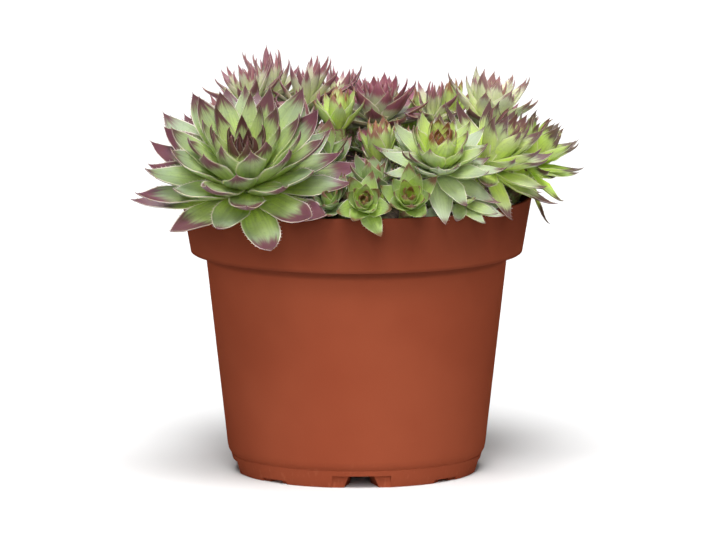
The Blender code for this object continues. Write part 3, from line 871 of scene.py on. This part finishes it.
class Rosette:
    """One plant: where its crown is, how it leans, and what its leaves are like."""

    def __init__(self, number, row):
        self.name, x, y, z, lean_x, lean_y, self.length, solid_count = row[:8]
        rise, curl, self.breadth, self.look = row[8:]
        self.habit = HABITS[HABIT_OF[self.look]]
        self.rise, self.curl = math.radians(rise - self.habit["droop"]), math.radians(curl)
        self.crown = Vector((x, y, z))
        self.axis = Vector((math.tan(math.radians(lean_x)), math.tan(math.radians(lean_y)), 1)).normalized()
        self.across = self.axis.cross(Vector((0, 1, 0))).normalized()
        self.along = self.axis.cross(self.across)
        self.turn = number * PLANT_TURN
        self.chance = random.Random(number + SEED)
        self.core = CROWN[0] + self.length * CROWN[1]
        self.count = round(solid_count * self.habit["more"])
        self.leaves = []

    def outwards(self, angle):
        """The direction away from the axis at an angle round it."""
        return self.across * math.cos(angle) + self.along * math.sin(angle)

    def stations(self):
        """Centres and radii of stem and crown, from the foot in the soil to the heart."""
        foot = Vector((self.crown.x * ROOT_PULL, self.crown.y * ROOT_PULL, 0))
        ground = soil_at(foot.x + self.core + PAST_HOLE, foot.y)
        foot.z = (ground.z if ground else SOIL_GUESS) - STEM_DEPTH
        heart = self.crown + self.axis * self.length * HEART_SHARE
        return [(foot, self.core * FOOT_WIDTH), (self.crown, self.core), (heart, self.core * HEART_WIDTH)]

    def stem_at(self, z):
        """Where the middle of the stem is at a height."""
        foot = self.stations()[0][0]
        return foot.lerp(self.crown, (z - foot.z) / (self.crown.z - foot.z))

    def stalk(self, grow=0.0, sides=5):
        """Points and faces of stem and crown."""
        points = []
        for centre, radius in self.stations():
            for i in range(sides):
                points.append(centre + self.outwards(math.tau * i / sides) * (radius + grow))
        top = tuple(range(2 * sides, 3 * sides))
        return points, [*tube_faces(3, sides), tuple(reversed(range(sides))), top]


rosettes = [Rosette(number, row) for number, row in enumerate(ROSETTES)]
print("crowns from", min(r.crown.z for r in rosettes), "to", max(r.crown.z for r in rosettes), "mm up")

# %% [markdown]
# No leaf is quite like its neighbour. Chance turns, shortens and rolls each a little, margins are wavy, and
# the oldest leaves of a plant wither, brown and shrunken, under the others. Drawing such leaves one by one
# would never end, so each is the model leaf carried to its own rib, with its own amounts of all this.

# %% A leaf and its chances
GOLDEN_ANGLE = math.radians(137.508)
# What chance does at an unruliness of 1: how far it turns, lifts and rolls a leaf, what it takes off the
# length and adds to it, and how far it sways the point
CHANCE_TURN = math.radians(6)
CHANCE_RISE = math.radians(5)
CHANCE_ROLL = math.radians(12)
CHANCE_SHORT = 0.12
CHANCE_LONG = 0.06
CHANCE_SWAY = 0.04
# How steep the heart's leaves are, and how steep the end of any leaf may be, in degrees
HEART_RISE = 80
UPRIGHT = 89
# How far from the axis a root is, as a share of the crown's radius, and what the heart's leaves lose of it
ROOT_RING = (0.5, 0.7)
# A leaf's thickness: its least, and what is added as a share of the rosette's leaf length
THICK = (0.5, 0.048)
# Leaves wither on rosettes between these lengths, in this outermost share, when their shade is over this
WITHERING = (15.0, 30.0, 0.10, 0.75)
# What withering leaves of the width, the length and the thickness, and how much more it rolls a leaf
SHRUNK = (0.55, 0.8, 0.7, 3)


class Leaf:
    """One leaf: where it leaves the crown, how it rises and curls, and its own sizes."""

    def __init__(self, rosette, number):
        self.inward = inward = number / rosette.count
        chance, habit = rosette.chance, rosette.habit
        outer, inner, inner_from = habit["outlines"]
        self.outline = chance.choice(inner if inward >= inner_from else outer)
        wild = habit["unruly"]

        def stray(most):
            """A chance amount, either way."""
            return chance.uniform(-wild, wild) * most

        self.out = rosette.outwards(number * GOLDEN_ANGLE + rosette.turn + stray(CHANCE_TURN))
        self.up = rosette.axis
        self.side = self.up.cross(self.out)
        ring = rosette.core * ROOT_RING[0] * (1 - ROOT_RING[1] * inward)
        self.root = rosette.crown + self.up * rosette.length * habit["climb"] * inward + self.out * ring
        self.length = rosette.length * self.left_of(habit["length_loss"], habit["late"])
        self.length *= chance.uniform(1 - CHANCE_SHORT * wild, 1 + CHANCE_LONG)
        self.rise = rosette.rise + (math.radians(HEART_RISE) - rosette.rise) * inward ** habit["rise_power"]
        self.rise += stray(CHANCE_RISE)
        upright = math.radians(UPRIGHT + habit["closing"] * inward)
        self.curl = min(rosette.curl * (habit["curl"][0] + habit["curl"][1] * inward), upright - self.rise)
        self.width = rosette.length * rosette.breadth * self.left_of(habit["width_loss"], habit["late"])
        self.width *= habit["fuller"]
        self.thick = THICK[0] + rosette.length * THICK[1]
        self.cup = habit["cup"][0] + habit["cup"][1] * inward
        self.roll = stray(CHANCE_ROLL)
        self.sway = stray(CHANCE_SWAY)
        self.shade = chance.random()
        shortest, longest, outermost, luck = WITHERING
        self.withered = shortest < rosette.length < longest and inward < outermost and self.shade > luck
        if self.withered:
            self.width *= SHRUNK[0]
            self.length *= SHRUNK[1]
            self.thick *= SHRUNK[2]
            self.roll *= SHRUNK[3]

    def left_of(self, loss, late):
        """What a loss, even and late, leaves of the size towards the heart."""
        return 1 - loss[0] * self.inward - loss[1] * self.inward**late


oldest = Leaf(Rosette(0, ROSETTES[0]), 0)
print("the oldest leaf of the large rosette is", round(oldest.length, 1), "mm long")

# %% [markdown]
# A leaf's rib is an arc that starts in the crown and curls up, while the model leaf is straight. So each
# point of the model is taken to its share of the arc, and from there across the turned blade and up from it.
# The cup of the blade, its wavy margins and its raised point are small amounts added to the way up. A chain
# of modifiers could bend, roll and cup a copy, but every leaf would need its own.

# %% Carrying the model leaf to a rib
# A curl below this counts as none
STRAIGHT = 1e-4
# From which share of the length the point turns up, and by how much of the length
TIP_FROM = 0.8
TIP_LIFT = 0.05
# How high the wavy margins are as a share of the width, and how many waves there are
WAVE = 0.06
WAVES = 1.7


def rib_at(leaf, t):
    """Places on a leaf's rib at shares t of its length, as far out, how high, and the bend there."""
    bend = leaf.rise + leaf.curl * t
    if abs(leaf.curl) < STRAIGHT:
        return np.cos(bend) * t, np.sin(bend) * t, bend
    far = (np.sin(bend) - math.sin(leaf.rise)) / leaf.curl
    high = (math.cos(leaf.rise) - np.cos(bend)) / leaf.curl
    return far, high, bend


def carried(leaf, model):
    """The model leaf's points, carried to a leaf's rib, in millimetres."""
    x, y, t = model.T
    far, high, bend = rib_at(leaf, t)
    out, up, side = (np.array(v) for v in (leaf.out, leaf.up, leaf.side))
    rib = np.array(leaf.root) + (np.outer(far, out) + np.outer(high, up)) * leaf.length
    normal = np.outer(np.cos(bend), up) - np.outer(np.sin(bend), out)
    roll = leaf.roll * t
    across = np.outer(np.cos(roll), side) + normal * np.sin(roll)[:, None]
    lift = y * leaf.thick + leaf.cup * leaf.width / 2 * x**2
    lift += leaf.length * TIP_LIFT * np.clip((t - TIP_FROM) / (1 - TIP_FROM), 0, 1) ** 2
    lift += leaf.width * WAVE * x**3 * np.sin(math.tau * (t * WAVES + leaf.shade))
    aside = x * leaf.width / 2 + leaf.sway * leaf.length * t**2
    return rib + across * aside[:, None] + normal * lift[:, None]


print("its point is at", [round(float(c), 1) for c in carried(oldest, np.array([(0, 0, 1.0)]))[0]], "mm")

# %% [markdown]
# Leaves of a crowded clump push each other aside. Here each new leaf is tested with a coarse blade round it
# against pot, soil, stems and all that has grown, and is raised and at last shortened until it crosses
# nothing. A simulation could press the leaves apart, but it would be slow and would crumple the spirals.

# %% A coarse blade round a leaf
# Shares of the length at which a coarse blade has its rings, and how high its upper face is
COARSE = (0.0, 0.3, 0.62, 0.86)
COARSE_TOP = 0.2


def coarse_blade(leaf, grow=0.0):
    """Points and faces of a coarse blade round a leaf, for testing what it would cross."""
    points = []
    for t in COARSE:
        half = half_width(t, leaf.outline)
        points += [(half, COARSE_TOP, t), (-half, COARSE_TOP, t), (0, -thickness(t), t)]
    placed = carried(leaf, np.array([*points, (0, 0, 1.0)]))
    if grow:
        away = placed - placed.mean(axis=0)
        placed = placed + away / np.linalg.norm(away, axis=1)[:, None] * grow
    tip = 3 * len(COARSE)
    end = [(tip - 3 + i, tip - 3 + (i + 1) % 3, tip) for i in range(3)]
    faces = [*tube_faces(len(COARSE), 3), *end, (2, 1, 0)]
    return [Vector(p) for p in placed], faces


def tree_of(shapes):
    """A search tree of several shapes, each a pair of points and faces."""
    points, faces = [], []
    for some_points, some_faces in shapes:
        start = len(points)
        points += some_points
        faces += [tuple(i + start for i in corners) for corners in some_faces]
    return BVHTree.FromPolygons(points, faces)


print("faces of a coarse blade", len(coarse_blade(oldest)[1]))

# %% Growing clear of the neighbours
LEAF_CLEARANCE = 0.15
BEND_STEP = math.radians(6)
STEEPEST = math.radians(86)
# How often a leaf is shortened at most, what is left of its size each time, and of its curl at each bend
SHORTENINGS = 4
SIZE_LEFT = 0.86
CURL_LEFT = 0.9


def bent_clear(leaf, blocked):
    """Raises a leaf that would cross something, and shortens it if that isn't enough."""
    rise, curl = leaf.rise, leaf.curl
    for _ in range(SHORTENINGS):
        leaf.rise, leaf.curl = rise, curl
        while leaf.rise < STEEPEST:
            around = tree_of([coarse_blade(leaf, LEAF_CLEARANCE)])
            if not any(around.overlap(other) for other in blocked):
                return True
            leaf.rise += BEND_STEP
            leaf.curl *= CURL_LEFT
        leaf.length *= SIZE_LEFT
        leaf.width *= SIZE_LEFT
    return False


still = [tree_in_mm(frame["nodes"]["pot"]), soil_tree]
grown = []


def grow(rosette, plants):
    """Grows a rosette's leaves clear of pot, soil, the stems of the other plants and all that has grown."""
    others = [other.stalk(LEAF_CLEARANCE) for other in plants if other is not rosette]
    blocked = [*still, tree_of(others)]
    if grown:
        blocked.append(tree_of(grown))
    for number in range(rosette.count):
        leaf = Leaf(rosette, number)
        if bent_clear(leaf, blocked):
            rosette.leaves.append(leaf)
    grown.extend(coarse_blade(leaf) for leaf in rosette.leaves)


for rosette in rosettes:
    grow(rosette, rosettes)
print("leaves", sum(len(r.leaves) for r in rosettes), "of", sum(r.count for r in rosettes))

# %% [markdown]
# Between the large plants the soil isn't bare: houseleeks put out offsets, which root where they touch it.
# They are rosettes like the others, only small, and stand wherever no stem is near. As the same rule grows
# them, all that each needs is a chance place, lean, length and look.

# %% Offsets on the soil
OFFSETS = 48
OFFSET_SEED = 12
OFFSET_TRIES = 6000
OFFSET_LENGTH = (7.0, 10.5)
# How near an offset may be to a stem and to another offset, and how far from the axis
OFFSET_ROOM = 6.0
OFFSET_SPACING = 6.8
OFFSET_EDGE = 55.0
# How far it leans outwards at the edge, in radians, and how high its crown is above the soil
OFFSET_LEAN = 0.35
OFFSET_RISE = 2.5
# Number of leaves, rise, curl and width over length, as in the rows of the rosettes, and the looks
OFFSET_LEAVES = (9, 8, 30, 0.42)
OFFSET_LOOKS = ("tuft", "bud", "tuft", "rose")
# The first two stand at the front, on both sides of the buds
OFFSET_ROWS = [
    ("offset_0", 35, -43, 98, 16, -40, 17, 12, -12, 20, 0.34, "bright"),
    ("offset_1", -9, -49, 97, -6, -44, 13, 9, -4, 24, 0.44, "tuft"),
]

chance = random.Random(OFFSET_SEED)
offsets = [Rosette(len(ROSETTES) + number, row) for number, row in enumerate(OFFSET_ROWS)]
for _ in range(OFFSET_TRIES):
    if len(offsets) == OFFSETS:
        break
    spot = chance_spot(chance, OFFSET_EDGE)
    if spot is None:
        continue
    stems = [(rosette.stem_at(spot.z), OFFSET_ROOM) for rosette in rosettes]
    stems += [(other.crown, OFFSET_SPACING) for other in offsets]
    if all(math.hypot(p.x - spot.x, p.y - spot.y) > room for p, room in stems):
        length = chance.uniform(*OFFSET_LENGTH)
        lean = [math.degrees(OFFSET_LEAN * c / OFFSET_EDGE) for c in (spot.x, spot.y)]
        place = (f"offset_{len(offsets)}", spot.x, spot.y, spot.z + OFFSET_RISE)
        row = (*place, *lean, length, *OFFSET_LEAVES, chance.choice(OFFSET_LOOKS))
        offsets.append(Rosette(len(ROSETTES) + len(offsets), row))
for rosette in offsets:
    grow(rosette, [*rosettes, *offsets])
print("offsets", len(offsets), "leaves", sum(len(r.leaves) for r in offsets))

# %% [markdown]
# ## Leaf finishes
#
# A houseleek leaf is yellow-green and fresh where it is shaded near the stem, grey-green and waxy along the
# blade, and stained purple where the sun reaches its tip. The stain has a ragged edge, a dark point ends it,
# and a thin pale margin runs round the whole leaf. Fine veins run along the blade. The shader reads how far
# along and across the leaf a point is from the UV map, and how old the leaf is from an attribute that is
# written as it grows. A painted picture could show all this on one leaf, but not on hundreds that differ.

# %% Looks
# base, blade, heart: colours near the stem, along the blade, and of the blades in the heart
# tip, heart_tip: colours of the stain on outer leaves and in the heart
# reach: how much of an outer leaf and of a heart leaf the stain covers, and depth: how strongly
# rim: how strong the pale margin is
# lush: how much of the base's colour an outer leaf and a heart leaf have
# wash: how strong the faint stain below the main one is
LOOKS = {
    "old": dict(
        base=(0.54, 0.70, 0.12), blade=(0.25, 0.345, 0.18), heart=(0.42, 0.54, 0.20),
        tip=(0.115, 0.03, 0.052), heart_tip=(0.08, 0.015, 0.025), reach=(0.17, 0.95), depth=0.95, rim=0.9,
        lush=(0.95, 0.65), wash=0.2,
    ),
    "rose": dict(
        base=(0.50, 0.58, 0.25), blade=(0.52, 0.48, 0.39), heart=(0.58, 0.53, 0.43),
        tip=(0.20, 0.06, 0.09), heart_tip=(0.27, 0.09, 0.115), reach=(0.36, 0.5), depth=0.92, rim=0.9,
        lush=(0.8, 1.0),
    ),
    "purple": dict(
        base=(0.38, 0.46, 0.20), blade=(0.38, 0.36, 0.30), heart=(0.40, 0.36, 0.31),
        tip=(0.22, 0.055, 0.09), heart_tip=(0.25, 0.065, 0.095), reach=(0.42, 0.60), depth=0.93, rim=0.8,
        lush=(0.7, 1.0),
    ),
    "bright": dict(
        base=(0.58, 0.74, 0.10), blade=(0.34, 0.41, 0.26), heart=(0.54, 0.68, 0.14),
        tip=(0.11, 0.035, 0.05), heart_tip=(0.18, 0.04, 0.02), reach=(0.12, 0.6), depth=0.93, rim=0.8,
        lush=(0.35, 1.0),
    ),
    "fan": dict(
        base=(0.60, 0.75, 0.13), blade=(0.44, 0.52, 0.27), heart=(0.56, 0.65, 0.26),
        tip=(0.09, 0.025, 0.04), heart_tip=(0.125, 0.032, 0.045), reach=(0.22, 0.55), depth=0.94, rim=0.65,
        lush=(0.9, 1.0),
    ),
    "pale": dict(
        base=(0.72, 0.82, 0.32), blade=(0.74, 0.76, 0.54), heart=(0.78, 0.80, 0.55),
        tip=(0.19, 0.06, 0.085), heart_tip=(0.27, 0.09, 0.11), reach=(0.18, 0.7), depth=0.88, rim=0.5,
        lush=(0.8, 1.0),
    ),
    "young": dict(
        base=(0.56, 0.74, 0.09), blade=(0.40, 0.52, 0.17), heart=(0.56, 0.70, 0.14),
        tip=(0.24, 0.08, 0.07), heart_tip=(0.22, 0.055, 0.035), reach=(0.18, 0.6), depth=0.92, rim=0.6,
        lush=(0.8, 1.0),
    ),
    "bud": dict(
        base=(0.44, 0.62, 0.06), blade=(0.21, 0.30, 0.09), heart=(0.40, 0.54, 0.08),
        tip=(0.13, 0.05, 0.03), heart_tip=(0.13, 0.03, 0.01), reach=(0.16, 0.8), depth=0.92, rim=0.45,
        lush=(0.45, 1.0),
    ),
    "tuft": dict(
        base=(0.30, 0.43, 0.08), blade=(0.145, 0.21, 0.09), heart=(0.22, 0.33, 0.09),
        tip=(0.17, 0.06, 0.065), heart_tip=(0.20, 0.06, 0.05), reach=(0.14, 0.4), depth=0.88, rim=0.7,
        lush=(0.5, 1.0),
    ),
}
LOOKS["lime"] = LOOKS["fan"] | dict(
    base=(0.60, 0.80, 0.08), blade=(0.43, 0.60, 0.13), heart=(0.53, 0.69, 0.13), tip=(0.07, 0.022, 0.03)
)
print("looks", sorted(LOOKS))

# %% Where a point is on its leaf
AGE_NAME = "age"
# Shifts the noise from leaf to leaf
SHADE_SHIFT = 40.0


def leaf_sockets(tree):
    """Sockets for along, off the middle, inward, shade, underside, withered, and a vector for noise."""
    uv = tree.nodes.new("ShaderNodeUVMap")
    uv.uv_map = UV_NAME
    split = tree.nodes.new("ShaderNodeSeparateXYZ")
    tree.links.new(uv.outputs["UV"], split.inputs[0])
    across, along = split.outputs["X"], split.outputs["Y"]
    age = tree.nodes.new("ShaderNodeAttribute")
    age.attribute_name = AGE_NAME
    parts = tree.nodes.new("ShaderNodeSeparateColor")
    tree.links.new(age.outputs["Color"], parts.inputs[0])
    inward, shade, under = parts.outputs[0], parts.outputs[1], parts.outputs[2]
    off_middle = calc(tree, "ABSOLUTE", calc(tree, "MULTIPLY_ADD", across, 2.0, -1.0))
    spot = tree.nodes.new("ShaderNodeCombineXYZ")
    for socket, value in zip(spot.inputs, (across, along, times(tree, shade, SHADE_SHIFT))):
        tree.links.new(value, socket)
    return along, off_middle, inward, shade, under, age.outputs["Alpha"], spot.outputs[0]


# %% The stain at the tip
# Where the stain starts on a leaf with the least of it, how ragged its edge is, and how far it tilts
STAIN_TOP = 0.985
STAIN_RAGGED = 0.27
STAIN_TILT = 0.26
# How much chance adds, how late the heart's reach comes in, and how much more the oldest leaves have
STAIN_CHANCE = 0.16
STAIN_LATE = 9.0
STAIN_OLD = 0.5
# How far in a leaf no longer counts as old, and how far in it is the oldest
OLDEST = (0.3, 0.0)
# The tilt's chance value is the fraction of this many shades, and at this value the edge lies level
TILT_DRAW = 7.0
TILT_LEVEL = 0.4
# How far the edge of the stain and of the wash run below and above their line
STAIN_EDGE = (0.07, 0.08)
WASH_EDGE = (0.45, 0.05)


def stain_sockets(tree, along, off_middle, inward, shade, patches, reach):
    """How much of the stain and of the wash there is at a point."""
    tilt = calc(tree, "SUBTRACT", calc(tree, "FRACT", times(tree, shade, TILT_DRAW)), TILT_LEVEL)
    tilt = times(tree, times(tree, tilt, STAIN_TILT), off_middle)
    height = calc(tree, "ADD", calc(tree, "MULTIPLY_ADD", patches, STAIN_RAGGED, along), tilt)
    late = calc(tree, "POWER", inward, STAIN_LATE)
    covered = calc(tree, "MULTIPLY_ADD", late, reach[1] - reach[0], reach[0])
    covered = calc(tree, "MULTIPLY_ADD", calc(tree, "SUBTRACT", shade, 0.5), STAIN_CHANCE, covered)
    oldest = step_between(tree, inward, *OLDEST)
    covered = calc(tree, "MULTIPLY_ADD", oldest, reach[0] * STAIN_OLD, covered)
    line = calc(tree, "SUBTRACT", STAIN_TOP, covered)
    return [
        step_between(tree, height, calc(tree, "SUBTRACT", line, below), calc(tree, "ADD", line, above))
        for below, above in (STAIN_EDGE, WASH_EDGE)
    ]


# %% The whole leaf
MARGIN = (0.82, 0.72, 0.62)
UNDERSIDE = (0.38, 0.50, 0.24)
BLOOM = (0.46, 0.52, 0.46)
WITHERED = (0.44, 0.31, 0.18)
WITHERED_DARK = (0.20, 0.10, 0.05)
LEAF_ROUGHNESS = 0.38
# How strongly each shows
UNDER_SHARE = 0.3
VEIN_SHARE = 0.4
SPECK_SHARE = 0.3
BLOOM_SHARE = 0.16
POINT_SHARE = 0.75
# Veins and specks are the blade's colour, only darker
VEIN_DARK = 0.62
SPECK_DARK = 0.55
# Patches and veins across, along and from leaf to leaf, and where a vein starts and is full
PATCHES = (11, 3.2, 1)
VEINS = (13, 1.8, 1)
VEIN_EDGE = (0.35, 0.75)
VEIN_RELIEF = (0.0003, 0.35)
SPECKS = (1100, 2, 0.55, 0.7)
BLOOM_PATCHES = (160, 4, 0.42, 0.68)
# How far in the heart's blade colour and its tip colour start and are full
YOUNG = (0.3, 0.75)
YOUNG_TIP = (0.55, 0.9)
# Shares of the length between which the base's colour comes in downwards, and the dark point upwards
FRESH = (0.80, 0.30)
POINT_FROM = (0.935, 0.975)
# Off the middle, where the pale margin starts and is full, and what the heart and the stain take from it
EDGE = (0.90, 0.985)
EDGE_LOST_YOUNG = 0.6
EDGE_LOST_STAIN = 0.35
# The flesh lets light through: how much, how far red, green and blue go, and that distance in metres
FLESH = 0.3
FLESH_GLOW = (0.7, 0.9, 0.25)
FLESH_DEPTH = 0.002
WAX_SHINE = 0.45


def leaf_finish(name, base, blade, heart, tip, heart_tip, reach, depth, rim, lush, wash=0.14):
    """The finish of one kind of leaf."""
    material, tree, shader = plain_shader(name, blade, LEAF_ROUGHNESS)
    along, off_middle, inward, shade, under, withered, spot = leaf_sockets(tree)
    patches = calc(tree, "SUBTRACT", noise_of(tree, 1.0, 4, at=spot, stretch=PATCHES), 0.5)
    veins = noise_of(tree, 1.0, 4, at=spot, stretch=VEINS)
    young = step_between(tree, inward, *YOUNG)

    colour = blend(tree, young, blade, heart)
    colour = blend(tree, times(tree, under, UNDER_SHARE), colour, UNDERSIDE)
    fresh = calc(tree, "MULTIPLY_ADD", young, lush[1] - lush[0], lush[0])
    colour = blend(tree, times(tree, step_between(tree, along, *FRESH), fresh), colour, base)
    dull = step_between(tree, veins, *VEIN_EDGE, VEIN_SHARE)
    colour = blend(tree, dull, colour, tuple(c * VEIN_DARK for c in blade))
    specks = patches_of(tree, *SPECKS, SPECK_SHARE)
    colour = blend(tree, specks, colour, tuple(c * SPECK_DARK for c in blade))
    colour = blend(tree, patches_of(tree, *BLOOM_PATCHES, BLOOM_SHARE), colour, BLOOM)

    stained, washed = stain_sockets(tree, along, off_middle, inward, shade, patches, reach)
    tip_colour = blend(tree, step_between(tree, inward, *YOUNG_TIP), tip, heart_tip)
    colour = blend(tree, times(tree, washed, wash), colour, tip_colour)
    colour = blend(tree, times(tree, stained, depth), colour, tip_colour)
    colour = blend(tree, step_between(tree, along, *POINT_FROM, POINT_SHARE), colour, tip)

    colour = blend(tree, withered, colour, blend(tree, veins, WITHERED_DARK, WITHERED))
    edge = step_between(tree, off_middle, *EDGE, rim)
    edge = times(tree, edge, calc(tree, "MULTIPLY_ADD", young, -EDGE_LOST_YOUNG, 1.0))
    edge = times(tree, edge, calc(tree, "MULTIPLY_ADD", stained, -EDGE_LOST_STAIN, 1.0))
    tree.links.new(blend(tree, edge, colour, MARGIN), shader.inputs["Base Color"])
    shader.inputs["Subsurface Weight"].default_value = FLESH
    shader.inputs["Subsurface Radius"].default_value = FLESH_GLOW
    shader.inputs["Subsurface Scale"].default_value = FLESH_DEPTH
    shader.inputs["Specular IOR Level"].default_value = WAX_SHINE
    bumped(tree, shader, veins, *VEIN_RELIEF)
    return material


leaf_finishes = {look: leaf_finish(f"{look}_leaf", **given) for look, given in LOOKS.items()}
print("leaf finishes", sorted(leaf_finishes))

# %% [markdown]
# Under the leaves the stem is green and brown, with the scars of leaves that have dropped. Little of it
# shows, so a noise between two colours, which also gives the relief, is enough.

# %% Stem finish
STEM_GREEN = (0.20, 0.26, 0.07)
STEM_BROWN = (0.16, 0.09, 0.045)
STEM_ROUGHNESS = 0.7
SCARS = (700, 4)
SCAR_EDGE = (0.4, 0.6)
SCAR_RELIEF = (0.0006, 0.8)

stem_finish, tree, shader = plain_shader("scarred_stem", STEM_GREEN, STEM_ROUGHNESS)
scars = noise_of(tree, *SCARS)
colour = blend(tree, step_between(tree, scars, *SCAR_EDGE), STEM_BROWN, STEM_GREEN)
tree.links.new(colour, shader.inputs["Base Color"])
bumped(tree, shader, scars, *SCAR_RELIEF)
print("stem finish", stem_finish.name)


# %% [markdown]
# ## Copying the leaf
#
# Each leaf is a copy of the model with its own mesh. Its points are carried to the leaf's rib, and its age
# and shade are written on them for the finish. A Curve modifier could bend each copy, but then hundreds of
# curves would be needed, and the cupping would still be missing. A rosette's leaves and stem are then joined.

# %% Rosettes as finished pieces
# How soon the rounded back of a leaf counts as its underside, and which edges of a leaf are shaded sharp
UNDER_FROM = 1.4
LEAF_SHARP_FROM = math.radians(70)


def new_age(mesh):
    """The attribute of a mesh that tells its finish how old each point is."""
    return mesh.color_attributes.new(name=AGE_NAME, type="FLOAT_COLOR", domain="POINT")


def stem_piece(rosette):
    """Stem and crown of a rosette."""
    points, faces = rosette.stalk(sides=STEM_SIDES)
    mesh = bpy.data.meshes.new("stem")
    mesh.from_pydata([p * MM for p in points], [], faces)
    mesh.materials.append(leaf_finishes[rosette.look])
    mesh.materials.append(stem_finish)
    for polygon in mesh.polygons:
        polygon.material_index = 1
    mesh.uv_layers.new(name=UV_NAME)
    new_age(mesh)
    return new_piece("stem", mesh)


def leaf_piece(leaf, model, finish):
    """A copy of the model leaf on its rib."""
    mesh = model.data.copy()
    points = np.empty(len(mesh.vertices) * 3)
    mesh.vertices.foreach_get("co", points)
    points = points.reshape(-1, 3)
    mesh.vertices.foreach_set("co", (carried(leaf, points) * MM).ravel())
    age = np.ones((len(points), 4))
    age[:, 0], age[:, 1] = leaf.inward, leaf.shade
    age[:, 2] = np.clip(-points[:, 1] * UNDER_FROM, 0, 1)
    age[:, 3] = leaf.withered
    new_age(mesh).data.foreach_set("color", age.ravel())
    mesh.materials.append(finish)
    return new_piece("leaf", mesh)


for rosette in [*rosettes, *offsets]:
    parts = [stem_piece(rosette)]
    parts += [leaf_piece(leaf, models[leaf.outline], leaf_finishes[rosette.look]) for leaf in rosette.leaves]
    plant = joined(rosette.name + "_plant", parts)
    bpy.ops.object.shade_smooth_by_angle(angle=LEAF_SHARP_FROM)
    if rosette.name in slot_of:
        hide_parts(rosette.name)
    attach(plant, "root")
for model in models.values():
    bpy.data.objects.remove(model)
print("plants", len(rosettes), "and offsets", len(offsets))
